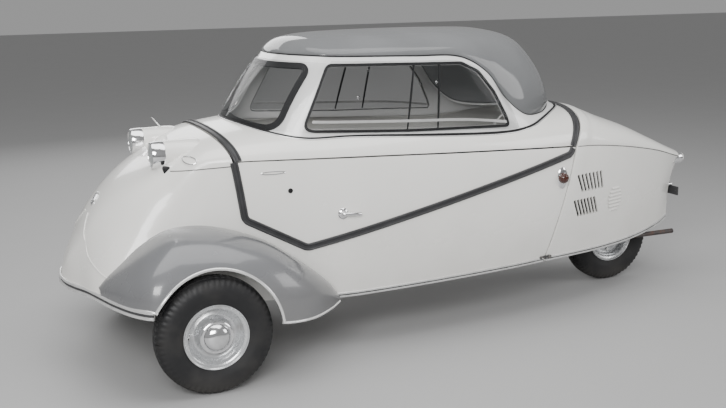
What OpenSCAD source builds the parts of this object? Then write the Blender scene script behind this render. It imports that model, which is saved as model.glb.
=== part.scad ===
// Three-wheeled bubble car with tandem seats and a canopy that swings open sideways.
// Millimetres. +X points to the nose, +Y to the driver's left, +Z up.
// The origin is on the floor, under the middle of the car.

/* [Wheels] */
// Height of the tyre, outside diameter
tyre_d = 415; // [380:1:450]
// Width of the tyre
tyre_w = 104; // [90:1:112]
// Outside diameter of the wheel rim's flanges
rim_d = 232; // [215:1:250]
// Diameter of the chromed hub cap
hubcap_d = 112; // [80:1:130]
// Distance between the middles of the front tyres
track = 1080; // [1060:1:1090]
// Place of the front axle, measured forward from the car's middle
front_axle_x = 970; // [940:1:990]
// Distance between the front and the rear axle
wheelbase = 2027; // [1990:1:2050]
// Distance of the kingpin inboard of the front tyre's middle
kingpin_offset = 75; // [73:1:80]
// Radius of the kingpins
kingpin_r = 9; // [7:0.5:11]

/* [Body] */
// Thickness of the body's walls, with their lining
wall = 12; // [8:1:16]
// Gap between panels that open and the panels next to them
gap = 6; // [5:0.5:8]
// Thickness of the front wings
wing_wall = 6; // [4:0.5:8]
// Radius of the wheel cut-out in a front wing
arch_r = 237; // [230:1:245]
// Width of the dark moulding round the cabin
band_w = 28; // [18:1:34]
// How far the moulding stands out from the panels
band_t = 6; // [4:0.5:10]
// Outside radius of a headlamp
lamp_r = 50; // [44:1:60]
// Distance of each headlamp from the car's middle plane
lamp_y = 190; // [180:1:205]

/* [Canopy] */
// Thickness of the canopy's window frame
frame_wall = 14; // [10:1:18]
// Thickness of the windscreen and side windows
pane = 5; // [4:0.5:6]
// Thickness of the dome
dome_t = 5; // [4:0.5:8]

/* [Cabin] */
// Width of the front seat
seat_w = 420; // [380:5:460]
// Thickness of the seat cushions
cushion_t = 90; // [60:5:110]
// Length of the steering bar across its grips
bar_w = 400; // [360:5:440]
// Diameter of the steering bar
bar_d = 24; // [20:1:28]

/* [Running gear] */
// Diameter of the front axle tube
axle_tube_d = 56; // [46:1:64]
// Diameter of the wheel spindles
spindle_d = 20; // [16:1:24]
// Length of the engine block
engine_l = 190; // [150:5:200]

/* [Hidden] */
$fn = 48;

tyre_r = tyre_d / 2;
rim_r = rim_d / 2;
rear_axle_x = front_axle_x - wheelbase;
wheel_y = track / 2;
kingpin_y = wheel_y - kingpin_offset;
far = 800;

// ---- Lines of the body -------------------------------------------------------------------
// Each row is one station, from the tail to the nose:
// [bottom x, z, half width] [half widths a third and two thirds up the side]
// [seam x, z, half width] [middle line x, z]
STATIONS = [
  [[-1384, 268,  30], [ 36,  42], [-1372, 570, 118], [-1366, 604]],
  [[-1300, 252,  78], [ 90,  96], [-1296, 592, 150], [-1292, 634]],
  [[-1180, 238, 132], [146, 152], [-1184, 624, 188], [-1190, 680]],
  [[-1020, 229, 194], [214, 222], [-1030, 656, 236], [-1050, 742]],
  [[ -840, 226, 248], [274, 286], [ -870, 682, 282], [ -900, 796]],
  [[ -660, 228, 292], [322, 338], [ -740, 697, 314], [ -810, 832]],
  [[ -505, 229, 320], [354, 374], [ -640, 703, 338], [ -748, 846]],
  [[ -330, 226, 344], [380, 402], [ -400, 716, 374], [ -440, 862]],
  [[  -40, 221, 364], [402, 424], [  -60, 732, 402], [  -60, 872]],
  [[  250, 216, 370], [404, 430], [  240, 746, 412], [  240, 880]],
  [[  430, 214, 362], [390, 424], [  430, 753, 408], [  430, 884]],
  [[  620, 222, 338], [352, 404], [  640, 760, 396], [  650, 878]],
  [[  790, 236, 318], [332, 384], [  830, 764, 374], [  868, 848]],
  [[  930, 262, 316], [330, 362], [  940, 752, 316], [  968, 812]],
  [[ 1060, 296, 326], [338, 336], [ 1046, 728, 240], [ 1060, 764]],
  [[ 1170, 330, 340], [346, 330], [ 1160, 620, 256], [ 1148, 706]],
  [[ 1262, 330, 344], [336, 286], [ 1238, 556, 204], [ 1220, 646]],
  [[ 1318, 330, 290], [266, 212], [ 1298, 500, 148], [ 1284, 572]],
  [[ 1358, 330, 172], [152, 122], [ 1346, 440,  92], [ 1336, 482]],
  [[ 1384, 330,  88], [ 78,  62], [ 1378, 392,  48], [ 1374, 414]],
  [[ 1398, 330,  22], [ 20,  16], [ 1396, 352,  12], [ 1394, 360]]
];
TAIL_SEAM = 6;    // station of the joint between cabin and tail
NOSE_SEAM = 12;   // station of the joint between cabin and nose
FLOOR_END = 14.2; // station of the floor's front edge
LAST = len(STATIONS) - 1;
half_gap = gap / 2 / 150;   // half a panel gap, in stations
slit = 0.012;               // half the joint between two fixed panels, in stations

// Glasshouse, from the front middle round the left side to the rear middle:
// [foot x, y, z] [shoulder under the dome x, y, z] [dome's middle line x, z]
GLASSHOUSE = [
  [[ 738,   0, 868], [ 562,   0, 1117], [ 562, 1118]],
  [[ 720, 150, 866], [ 542, 150, 1117], [ 549, 1140]],
  [[ 665, 280, 848], [ 470, 270, 1115], [ 502, 1170]],
  [[ 556, 348, 840], [ 396, 298, 1111], [ 420, 1186]],
  [[ 380, 358, 830], [ 270, 304, 1107], [ 270, 1193]],
  [[ 140, 363, 818], [  80, 306, 1101], [  60, 1195]],
  [[-100, 359, 807], [-110, 304, 1091], [-170, 1193]],
  [[-280, 348, 797], [-236, 302, 1024], [-340, 1184]],
  [[-385, 330, 798], [-312, 304,  926], [-500, 1140]],
  [[-470, 296, 808], [-412, 294,  850], [-600, 1040]],
  [[-580, 214, 830], [-540, 214,  836], [-655,  950]],
  [[-680, 110, 846], [-640, 110,  848], [-688,  885]],
  [[-728,   0, 852], [-706,   0,  862], [-710,  866]]
];

// ---- Curves and solids -------------------------------------------------------------------
function lerp(a, b, t) = a + (b - a) * t;
function unit(v) = v / max(norm(v), 1e-9);
function slope(v, i) =
  i == 0 ? v[1] - v[0] :
  i == len(v) - 1 ? v[i] - v[i - 1] : (v[i + 1] - v[i - 1]) / 2;
// Smooth curve through the values v, at step s
function smooth(v, s) =
  let (i = max(0, min(floor(s), len(v) - 2)), t = s - i, a = v[i], b = v[i + 1],
       m = slope(v, i), n = slope(v, i + 1))
  a + t * (m + t * ((3 * (b - a) - 2 * m - n) + t * (2 * (a - b) + m + n)));
function bezier(p, t) =
  let (r = 1 - t) r * r * r * p[0] + 3 * r * r * t * p[1] + 3 * r * t * t * p[2] + t * t * t * p[3];
function steps(a, b, n) = [for (i = [0:n]) a + (b - a) * i / n];
function mirror_y(p) = [p[0], -p[1], p[2]];

// Solid through rings of equal length, with flat ends
module loft(rings) {
  n = len(rings[0]);
  m = len(rings);
  sides = [for (i = [0:m - 2], j = [0:n - 1])
    [i * n + j, i * n + (j + 1) % n, (i + 1) * n + (j + 1) % n, (i + 1) * n + j]];
  polyhedron(
    points = [for (r = rings) for (p = r) p],
    faces = concat(
      [for (f = sides) [f[0], f[2], f[1]]],
      [for (f = sides) [f[0], f[3], f[2]]],
      [[for (j = [0:n - 1]) j]],
      [[for (j = [n - 1:-1:0]) (m - 1) * n + j]]),
    convexity = 6);
}
// Curved panel: face(s, u) for s in rows and u in columns, thickened inwards from "near" to "deep"
module sheet(face, rows, columns, deep, near = 0) {
  e = 0.01;
  function normal(s, u) = unit(cross(
    face(s, u + e) - face(s, u - e), face(s + e, u) - face(s - e, u)));
  loft([for (s = rows) concat(
    [for (u = columns) face(s, u) - near * normal(s, u)],
    [for (i = [len(columns) - 1:-1:0]) face(s, columns[i]) - deep * normal(s, columns[i])])]);
}
// Its cuts are worked on one mesh
module pressed() { resize([0, 0, 0]) children(); }
// Flat outline in the side view, cut across from one y to another
module across(from, to) { translate([0, to, 0]) rotate([90, 0, 0]) linear_extrude(to - from) children(); }
// Round tube along points, with n sides
module tube(points, r, n = 8) {
  last = len(points) - 1;
  loft([for (i = [0:last])
    let (d = unit(points[min(i + 1, last)] - points[max(i - 1, 0)]),
         side = unit(cross(d, [0, 0, 1])), up = cross(side, d))
    [for (j = [0:n - 1]) points[i] + r * (cos(360 * j / n) * side - sin(360 * j / n) * up)]]);
}
module both_sides() {
  children();
  mirror([0, 1, 0]) children();
}

// ---- The body's skin ---------------------------------------------------------------------
// Smooth values at station s, drawn in by the distance d
function station(s, d = 0) =
  let (b = smooth([for (r = STATIONS) r[0]], s), w = smooth([for (r = STATIONS) r[1]], s),
       m = smooth([for (r = STATIONS) r[2]], s), t = smooth([for (r = STATIONS) r[3]], s),
       least = 2)
  [[b[0], b[1] + d, max(b[2] - d, least)], [max(w[0] - d, least), max(w[1] - d, least)],
   [m[0], min(m[1], t[1] - d - 1), max(m[2] - d, least)], [t[0], t[1] - d]];
// Left side of station row q, from the bottom edge (u = 0) to the seam (u = 1)
function side_point(q, u) =
  let (b = q[0], w = q[1], m = q[2])
  bezier([[b[0], b[2], b[1]],
          [lerp(b[0], m[0], 1 / 3), w[0], lerp(b[1], m[1], 0.33)],
          [lerp(b[0], m[0], 2 / 3), w[1], lerp(b[1], m[1], 0.72)],
          [m[0], m[2], m[1]]], u);
// Top of station row q, from the seam (u = 0) to the middle line (u = 1)
function top_point(q, u) =
  let (m = q[2], t = q[3])
  bezier([[m[0], m[2], m[1]],
          [lerp(m[0], t[0], 0.4), m[2] * 0.97, lerp(m[1], t[1], 0.68)],
          [t[0], m[2] * 0.62, t[1]],
          [t[0], 0, t[1]]], u);
// Skin at station s: w runs from 0 (left bottom) over 1 (left seam), 2 (middle) and 3 to 4 (right bottom)
function skin_half(q, w) = w <= 1 ? side_point(q, w) : top_point(q, w - 1);
skin = function(s, w) let (q = station(s)) w <= 2 ? skin_half(q, w) : mirror_y(skin_half(q, 4 - w));
// Closed ring of the whole body at station row q
function body_ring(q) =
  let (left = concat([for (u = steps(0, 1, 6)) side_point(q, u)],
                     [for (u = steps(1 / 7, 6 / 7, 5)) top_point(q, u)]))
  concat(left, [top_point(q, 1)], [for (i = [len(left) - 1:-1:0]) mirror_y(left[i])]);
// Opening in the bottom of a shell between two stations, with its side walls left standing
module underside(first, last) {
  edge = [for (s = steps(first, last, 12)) let (b = station(s, wall)[0]) [b[0], b[2]]];
  low = min([for (s = [first, last]) station(s)[0][1]]) - 30;
  high = max([for (s = [first, last]) station(s)[0][1]]) + 2 * wall;
  translate([0, 0, low]) linear_extrude(high - low)
    polygon(concat(edge, [for (i = [len(edge) - 1:-1:0]) [edge[i][0], -edge[i][1]]]));
}
// Part of the body between two stations, drawn in by d
module body_solid(first, last, d = 0) {
  loft([for (s = steps(first, last, ceil((last - first) * 2))) body_ring(station(s, d))]);
}

// ---- The glasshouse ----------------------------------------------------------------------
ROUND = concat(
  [for (i = [len(GLASSHOUSE) - 1:-1:1]) let (r = GLASSHOUSE[i]) [mirror_y(r[0]), mirror_y(r[1]), r[2]]],
  GLASSHOUSE);
REAR = len(GLASSHOUSE) - 1;
function foot(t) = smooth([for (r = ROUND) r[0]], t + REAR);
function shoulder(t) = smooth([for (r = ROUND) r[1]], t + REAR);
function ridge(t) = let (r = smooth([for (r = ROUND) r[2]], t + REAR)) [r[0], 0, r[1]];
// Wall of the glasshouse at t round it (right rear < 0 < left rear), h from foot (0) to shoulder (1)
glass_wall = function(t, h)
  let (a = foot(t), b = shoulder(t), out = unit([a[0] * 0.35, a[1], 0]))
  lerp(a, b, h) + 8 * sin(180 * h) * min(1, (b[2] - a[2]) / 200) * out;
// Dome at rib t (0 front, REAR at the back), k from the left shoulder (0) over the ridge (1) to the right (2)
function rib_half(t, k) =
  let (a = shoulder(t), b = ridge(t))
  bezier([a, [lerp(a[0], b[0], 0.12), a[1], lerp(a[2], b[2], 0.56)],
          [b[0], a[1] * 0.56, b[2]], b], k);
dome_skin = function(t, k) k <= 1 ? rib_half(t, k) : mirror_y(rib_half(t, 2 - k));

// ---- Cabin and nose panels ---------------------------------------------------------------
module nose_shell() {
  color("ivory") pressed() difference() {
    union() {
      body_solid(NOSE_SEAM + slit, LAST);
      both_sides() lamp_fairing();
    }
    body_solid(NOSE_SEAM - 0.5, LAST - 1.6, wall);
    both_sides() lamp_place() cylinder(r = lamp_r + 1, h = 200);
    underside(NOSE_SEAM - 0.5, FLOOR_END + 0.2);
  }
}
lamp_x = 1052;
lamp_z = 784;
module lamp_place() { translate([lamp_x - 20, lamp_y, lamp_z]) rotate([0, 90, 0]) children(); }
module lamp_fairing() {
  hull() {
    lamp_place() cylinder(r = lamp_r + 5, h = 16, $fn = 24);
    translate([876, lamp_y - 20, 812]) sphere(r = 20, $fn = 16);
    translate([960, lamp_y + 20, 728]) sphere(r = 24, $fn = 16);
  }
}
module body_side() {
  sheet(skin, steps(TAIL_SEAM + slit, NOSE_SEAM - slit, 18), steps(0.01, 1 - 0.005, 8), wall);
}
module left_body_side() { color("ivory") body_side(); }
module right_body_side() { color("ivory") mirror([0, 1, 0]) body_side(); }
floor_skin = function(s, u)
  let (b = station(s)[0]) [b[0], lerp(-1, 1, u) * (b[2] - wall - 3), b[1]];
module floor_pan() {
  color("dimgray") sheet(floor_skin, steps(TAIL_SEAM + slit, FLOOR_END, 16), [0, 1], wall);
}

// ---- Front wings -------------------------------------------------------------------------
// [joint with the body x, y, z] [lower edge x, y, z], from the rear tip to the nose
WING = [
  [[ 441, 350, 220], [ 446, 392, 210]],
  [[ 500, 372, 292], [ 510, 462, 208]],
  [[ 600, 384, 378], [ 612, 548, 214]],
  [[ 720, 376, 464], [ 730, 596, 230]],
  [[ 840, 360, 514], [ 850, 604, 262]],
  [[ 960, 342, 540], [ 970, 604, 262]],
  [[1070, 330, 532], [1085, 604, 290]],
  [[1160, 320, 484], [1180, 596, 331]],
  [[1225, 310, 430], [1240, 520, 331]],
  [[1275, 300, 384], [1278, 420, 330]],
  [[1304, 285, 346], [1303, 334, 330]]
];
wing_skin = function(s, u)
  let (j = smooth([for (r = WING) r[0]], s), e = smooth([for (r = WING) r[1]], s))
  bezier([j, [j[0], lerp(j[1], e[1], 0.72), j[2] + 6], [e[0], e[1] + 4, lerp(e[2], j[2], 0.72)], e], u);
wing_gap = 6;     // joint between a wing and the body, filled by its piping
module wing() {
  color("gray") pressed() difference() {
    sheet(wing_skin, steps(0, len(WING) - 1, 20), steps(1, 0, 10), wing_wall);
    body_solid(9, LAST, -wing_gap);
    translate([front_axle_x, 400, tyre_r]) rotate([-90, 0, 0]) cylinder(r = arch_r, h = 300, $fn = 64);
  }
}
module left_front_wing() { wing(); }
module right_front_wing() { mirror([0, 1, 0]) wing(); }

// ---- Lamps and trim ----------------------------------------------------------------------
NOSE_ARC = [[1180, 598, 318], [1202, 580, 318], [1242, 518, 318], [1280, 422, 318], [1307, 330, 318],
            [1338, 226, 318], [1370, 150, 318], [1392, 80, 318], [1401, 0, 318]];
module nose_trim() {
  half = [for (t = steps(0, len(NOSE_ARC) - 1, 16)) smooth(NOSE_ARC, t)];
  color("whitesmoke") tube(concat(half, [for (i = [len(half) - 2:-1:0]) mirror_y(half[i])]), 8);
}
module headlamp() {
  color("lightgray") lamp_place() rotate_extrude() polygon([
    [0, 2], [lamp_r, 2], [lamp_r, 34], [lamp_r - 7, 42], [lamp_r - 12, 38], [lamp_r - 26, 47], [0, 52]]);
}
module left_headlamp() { headlamp(); }
module right_headlamp() { mirror([0, 1, 0]) headlamp(); }
module stroke(points, w) {
  for (i = [0:len(points) - 2]) hull() {
    translate(points[i]) circle(d = w, $fn = 12);
    translate(points[i + 1]) circle(d = w, $fn = 12);
  }
}
// Raised skin of the body, between the moulding's face and the panels
module raised(first, last) {
  difference() {
    body_solid(first, last, -band_t - 2.5);
    body_solid(max(first - 1, 0), min(last + 1, LAST), -2.5);
  }
}
BAND = [[823, 746], [790, 551], [560, 425], [-606, 676]];
module side_mouldings() {
  color("black") pressed() intersection() {
    raised(5, 13);
    across(-far, far) stroke(BAND, band_w);
  }
}
module side_lamps() {
  color("dimgray") both_sides() translate([-560, 378, 581]) rotate([-90, 0, 0]) cylinder(r1 = 24, r2 = 18, h = 22);
}
module door_handle() {
  color("silver") translate([428, 436, 546]) {
    rotate([-90, 0, 0]) cylinder(r = 14, h = 12);
    translate([-60, 14, -6]) cube([74, 10, 12]);
  }
}

// ---- Canopy ------------------------------------------------------------------------------
WINDSCREEN = [[-300, 858], [-277, 1078], [277, 1078], [300, 858], [0, 882]];
windscreen_r = 34;
module windscreen_opening(grow = 0) {
  rotate([90, 0, 90]) linear_extrude(900) offset(r = windscreen_r + grow, $fn = 32)
    offset(delta = -windscreen_r) polygon(WINDSCREEN);
}
module window_outline(grow = 0) {
  offset(r = 30 + grow, $fn = 32) offset(delta = -30)
    polygon([[560, 850], [440, 1082], [-110, 1068], [-185, 1032], [-250, 950], [-300, 850], [-312, 812], [-140, 818], [140, 826], [360, 838]]);
}
module canopy_skirt() {
  color("ivory") pressed() difference() {
    sheet(skin, steps(TAIL_SEAM + half_gap * 2, NOSE_SEAM - half_gap * 2, 18),
          concat(steps(1.03, 2, 7), steps(2.14, 2.97, 6)), wall);
    cabin_hole();
  }
}
// The hole in the canopy's skirt, just outside the glasshouse's foot
module cabin_hole() {
  hull() for (z = [600, 1100]) translate([0, 0, z]) linear_extrude(1)
    offset(delta = 5) polygon([for (t = steps(-REAR, REAR - 0.5, 47)) let (p = foot(t)) [p[0], p[1]]]);
}
module canopy_frame() {
  color("white") pressed() difference() {
    sheet(glass_wall, steps(0.3 - REAR, REAR - 0.3, 70), steps(0, 1, 5), frame_wall);
    windscreen_opening();
    across(-far, far) window_outline();
  }
}
module windscreen() {
  color("lightblue") pressed() intersection() {
    sheet(glass_wall, steps(-2.6, 2.6, 16), steps(0, 1, 5), frame_wall - 3, frame_wall - 3 - pane);
    windscreen_opening(-1);
  }
}
module side_windows() {
  color("lightblue") pressed() intersection() {
    both_sides() sheet(glass_wall, steps(2.8, 8.9, 20), steps(0, 1, 5), frame_wall - 3, frame_wall - 3 - pane);
    across(-far, far) window_outline(-1);
  }
}
module dome() {
  color("slategray") pressed() difference() {
    sheet(dome_skin, steps(0.15, REAR - 0.15, 36), steps(0.02, 1.98, 20), dome_t);
    sheet(glass_wall, steps(-REAR, REAR - 0.02, 72), [0, 0.25, 0.5, 0.75, 1, 1.02], frame_wall + 2, -2);
  }
}
module canopy_moulding() {
  color("black") pressed() difference() {
    for (s = [TAIL_SEAM + 0.12, NOSE_SEAM - 0.12])
      sheet(skin, steps(s - 0.1, s + 0.08, 1), steps(1.04, 2.96, 24), -2, -band_t - 2);
    cabin_hole();
  }
}
module wiper() {
  color("silver") tube([for (h = [0.16, 0.3, 0.5, 0.72]) glass_wall(-1.62, h) + [12, -4, 9]], 4);
}

// ---- Tail --------------------------------------------------------------------------------
module tail_shell() {
  color("ivory") pressed() difference() {
    body_solid(0, TAIL_SEAM - half_gap * 2);
    body_solid(0.35, TAIL_SEAM + 0.5, wall);
    underside(0.4, TAIL_SEAM + 0.5);
  }
}
module tail_lamps() {
  color("white") both_sides() translate([-1374, 96, 562]) rotate([0, -90, 0]) cylinder(r = 24, h = 28);
}
module plate_lamp() {
  color("dimgray") difference() {
    translate([-1410, -80, 375]) cube([5, 160, 40]);
    both_sides() translate([-1420, 60, 395]) rotate([0, 90, 0]) cylinder(r = 3.2, h = 20);
  }
}

// ---- Running gear ------------------------------------------------------------------------
module along_y(y0, y1, r) { translate([0, y0, 0]) rotate([-90, 0, 0]) cylinder(r = r, h = y1 - y0); }
lug_z = 46;       // height of the axle's lugs above and below the wheel's middle
lug_t = 14;
lug_r = 18;
rod_x = front_axle_x - 86;
rod_y = kingpin_y;
rod_z = tyre_r - 34;
module front_axle() {
  color("dimgray") translate([front_axle_x, 0, tyre_r]) difference() {
    union() {
      along_y(-kingpin_y + 52, kingpin_y - 52, axle_tube_d / 2);
      translate([-30, -50, -38]) cube([60, 100, 12]);
      both_sides() {
        translate([-20, kingpin_y - 60, -lug_z - lug_t]) cube([40, 12, 2 * (lug_z + lug_t)]);
        for (z = [lug_z, -lug_z - lug_t]) {
          translate([0, kingpin_y, z]) cylinder(r = lug_r, h = lug_t);
          translate([-lug_r, kingpin_y - 50, z]) cube([2 * lug_r, 50, lug_t]);
        }
        translate([0, kingpin_y, -lug_z - lug_t - 4]) cylinder(r = kingpin_r, h = 2 * (lug_z + lug_t + 4));
      }
    }
  }
}
module knuckle() {
  color("gray") translate([front_axle_x, 0, tyre_r]) difference() {
    union() {
      translate([0, kingpin_y, -lug_z + 1]) cylinder(r = 17, h = 2 * lug_z - 2);
      along_y(kingpin_y + 10, wheel_y + 36, spindle_d / 2);
      along_y(kingpin_y + 24, kingpin_y + 28, 74);
      hull() {
        translate([0, kingpin_y, -lug_z + 1]) cylinder(r = 15, h = 12, $fn = 32);
        translate([rod_x - front_axle_x, rod_y, -lug_z + 1]) cylinder(r = 13, h = 12, $fn = 32);
      }
    }
    translate([0, kingpin_y, -100]) cylinder(r = kingpin_r + 0.3, h = 200);
    translate([rod_x - front_axle_x, rod_y, -100]) cylinder(r = 6.5, h = 200);
  }
}
module left_knuckle() { knuckle(); }
module right_knuckle() { mirror([0, 1, 0]) knuckle(); }
module track_rod() {
  color("silver") translate([rod_x, 0, tyre_r - lug_z - 14]) {
    along_y(-rod_y, rod_y, 8);
    both_sides() translate([0, rod_y, -11]) {
      cylinder(r = 13, h = 22);
      cylinder(r = 6, h = 44);
    }
  }
}
// Tyre, with its middle plane at y = 0
module tyre() {
  w = tyre_w / 2;
  color("black") rotate([-90, 0, 0]) rotate_extrude() polygon([
    [rim_r - 10, -w + 14], [rim_r + 6, -w + 8], [rim_r + 32, -w], [tyre_r - 30, -w + 1], [tyre_r - 12, -w + 10],
    [tyre_r - 3, -w + 26], [tyre_r, 0], [tyre_r - 3, w - 26], [tyre_r - 12, w - 10], [tyre_r - 30, w - 1],
    [rim_r + 32, w], [rim_r + 6, w - 8], [rim_r - 10, w - 14]]);
}
// Pressed disc wheel with a welded rim; the disc faces +Y
module disc_wheel(y = 0) {
  w = tyre_w / 2 - 16;
  color("silver") rotate([-90, 0, 0]) difference() {
    rotate_extrude() polygon([
      [spindle_d / 2 + 1, 8], [spindle_d / 2 + 1, 40], [34, 40], [34, 16], [70, 10], [rim_r - 22, 16], [rim_r - 16, w + 4],
      [rim_r - 11, w + 6], [rim_r - 11, -w - 6], [rim_r - 15, -w - 6], [rim_r - 22, -10], [rim_r - 28, 8], [70, 4], [34, 8]]);
  }
}
module hubcap() {
  color("gainsboro") rotate([-90, 0, 0]) translate([0, 0, 44]) rotate_extrude() polygon([
    [0, 0], [hubcap_d / 2, 0], [hubcap_d / 2 - 4, 6], [30, 20], [0, 26]]);
}
module at_left_wheel() { translate([front_axle_x, wheel_y, tyre_r]) children(); }
module at_right_wheel() { mirror([0, 1, 0]) at_left_wheel() children(); }
module at_rear_wheel() { translate([rear_axle_x, 0, tyre_r]) children(); }
module left_tyre() { at_left_wheel() tyre(); }
module left_wheel() { at_left_wheel() disc_wheel(); }
module left_hubcap() { at_left_wheel() hubcap(); }
module right_tyre() { at_right_wheel() tyre(); }
module right_wheel() { at_right_wheel() disc_wheel(); }
module right_hubcap() { at_right_wheel() hubcap(); }
module rear_tyre() { at_rear_wheel() tyre(); }
module rear_wheel() { at_rear_wheel() disc_wheel(); }
module swing_arm() {
  color("dimgray") {
    both_sides() hull() {
      translate([rear_axle_x, 66, tyre_r]) along_y(0, 14, 22);
      translate([-560, 66, 275]) along_y(0, 14, 22);
    }
    translate([-560, 0, 275]) along_y(-150, 150, 20);
    translate([rear_axle_x, 0, tyre_r]) along_y(-90, 90, spindle_d / 2);
  }
}
tyre_room = 19.5; // clearance between the rear tyre and the engine
module engine_block() {
  color("darkslategray") translate([rear_axle_x + tyre_r + tyre_room, -130, 310]) cube([engine_l, 260, 260]);
}
module exhaust() {
  color("gray") {
    translate([-850, 152, 264]) rotate([0, 90, 0]) cylinder(r = 30, h = 230);
    tube([[-845, 152, 262], [-930, 140, 250], [-1040, 124, 230], [-1150, 114, 218], [-1260, 110, 216], [-1358, 110, 216]], 11, 12);
  }
}

// ---- Cabin furniture ---------------------------------------------------------------------
module cushion(size, r = 30) {
  hull() for (x = [r, size[0] - r], y = [r, size[1] - r])
    translate([x, y, 0]) { translate([0, 0, r]) sphere(r = r, $fn = 16); translate([0, 0, size[2] - r]) sphere(r = r, $fn = 16); }
}
module front_seat() {
  color("saddlebrown") {
    translate([-10, -seat_w / 2, 300]) cushion([430, seat_w, cushion_t]);
    translate([-30, -seat_w / 2, 395]) rotate([0, -14, 0]) translate([-70, 0, 0]) cushion([75, seat_w, 380]);
  }
}
module rear_seat() {
  color("saddlebrown") {
    translate([-480, -250, 330]) cushion([300, 500, cushion_t]);
  }
}
module dashboard() { color("dimgray") translate([690, -300, 620]) cube([14, 600, 110]); }
module rear_bulkhead() {
  color("dimgray") loft([for (s = [TAIL_SEAM + 0.1, TAIL_SEAM + 0.16]) let (q = station(s, wall + 3))
    concat([for (u = steps(0, 0.94, 6)) side_point(q, u)], [for (u = steps(0.94, 0, 6)) mirror_y(side_point(q, u))])]);
}
bar_place = [520, 0, 660];
column_tilt = 38;
module on_column() { translate(bar_place) rotate([0, 90 + column_tilt, 0]) children(); }
module steering_column() { color("black") on_column() translate([0, 0, 12]) cylinder(r = 16, h = 180); }
module steering_bar() {
  color("black") on_column() {
    translate([0, 0, -2]) rotate([90, 0, 0]) cylinder(d = bar_d, h = bar_w, center = true);
  }
}

nose_shell();
left_body_side();
right_body_side();
floor_pan();
left_front_wing();
right_front_wing();
nose_trim();
left_headlamp();
right_headlamp();
side_mouldings();
side_lamps();
door_handle();
dashboard();
front_seat();
rear_seat();
rear_bulkhead();
steering_column();
steering_bar();
canopy_skirt();
canopy_frame();
windscreen();
side_windows();
dome();
canopy_moulding();
wiper();
tail_shell();
tail_lamps();
plate_lamp();
front_axle();
left_knuckle();
right_knuckle();
track_rod();
left_tyre();
left_wheel();
left_hubcap();
right_tyre();
right_wheel();
right_hubcap();
swing_arm();
rear_tyre();
rear_wheel();
engine_block();
exhaust();
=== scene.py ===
"""Three-wheeled bubble car with tandem seats: its panels, glass, trim, wheels and cabin.

Lengths in the tables are millimetres, and everything placed is in metres.
+X points to the nose, +Y to the driver's left, +Z up, and the floor is z = 0.
"""
import math

import bpy
import numpy as np
from mathutils import Matrix, Vector


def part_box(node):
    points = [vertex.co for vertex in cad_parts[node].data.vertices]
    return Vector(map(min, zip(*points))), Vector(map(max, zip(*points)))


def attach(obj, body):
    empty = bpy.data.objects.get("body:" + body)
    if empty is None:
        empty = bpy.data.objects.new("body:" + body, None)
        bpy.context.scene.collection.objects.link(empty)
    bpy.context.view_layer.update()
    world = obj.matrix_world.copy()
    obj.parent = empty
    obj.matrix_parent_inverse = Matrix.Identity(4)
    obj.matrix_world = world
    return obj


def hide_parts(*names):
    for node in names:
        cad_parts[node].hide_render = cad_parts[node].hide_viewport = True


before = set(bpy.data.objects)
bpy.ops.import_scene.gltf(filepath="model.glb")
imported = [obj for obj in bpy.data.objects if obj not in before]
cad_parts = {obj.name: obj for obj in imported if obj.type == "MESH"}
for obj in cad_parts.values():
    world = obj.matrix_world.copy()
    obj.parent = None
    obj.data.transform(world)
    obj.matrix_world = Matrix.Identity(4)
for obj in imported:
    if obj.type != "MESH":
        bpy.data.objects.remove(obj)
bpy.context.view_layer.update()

MM = 0.001
BOTH_SIDES = (("left", 1), ("right", -1))

# ---- Lines of the body ---------------------------------------------------------------------
# One row for each station from the tail to the nose: bottom x, z, half width; half widths a
# third and two thirds up the side; seam x, z, half width; middle line x, z.
STATIONS = np.array([
    [-1384, 268, 30, 36, 42, -1372, 570, 118, -1366, 604],
    [-1300, 252, 78, 90, 96, -1296, 592, 150, -1292, 634],
    [-1180, 238, 132, 146, 152, -1184, 624, 188, -1190, 680],
    [-1020, 229, 194, 214, 222, -1030, 656, 236, -1050, 742],
    [-840, 226, 248, 274, 286, -870, 682, 282, -900, 796],
    [-660, 228, 292, 322, 338, -740, 697, 314, -810, 832],
    [-505, 229, 320, 354, 374, -640, 703, 338, -748, 846],
    [-330, 226, 344, 380, 402, -400, 716, 374, -440, 862],
    [-40, 221, 364, 402, 424, -60, 732, 402, -60, 872],
    [250, 216, 370, 404, 430, 240, 746, 412, 240, 880],
    [430, 214, 362, 390, 424, 430, 753, 408, 430, 884],
    [620, 222, 338, 352, 404, 640, 760, 396, 650, 878],
    [790, 236, 318, 332, 384, 830, 764, 374, 868, 848],
    [930, 262, 316, 330, 366, 950, 752, 336, 975, 806],
    [1060, 296, 326, 338, 352, 1060, 690, 296, 1068, 756],
    [1170, 330, 340, 346, 330, 1160, 620, 256, 1148, 706],
    [1262, 330, 344, 336, 286, 1238, 556, 204, 1220, 646],
    [1318, 330, 290, 266, 212, 1298, 500, 148, 1284, 572],
    [1358, 330, 172, 152, 122, 1346, 440, 92, 1336, 482],
    [1384, 330, 88, 78, 62, 1378, 392, 48, 1374, 414],
    [1398, 330, 22, 20, 16, 1396, 352, 12, 1394, 360],
])
TAIL_SEAM = 6      # station of the joint between cabin and tail
NOSE_SEAM = 12     # station of the joint between cabin and nose
LAST = len(STATIONS) - 1
HALF_GAP = 0.02    # half the gap round an opening panel, in stations
SLIT = 0.012       # half the joint between two fixed panels, in stations

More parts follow.
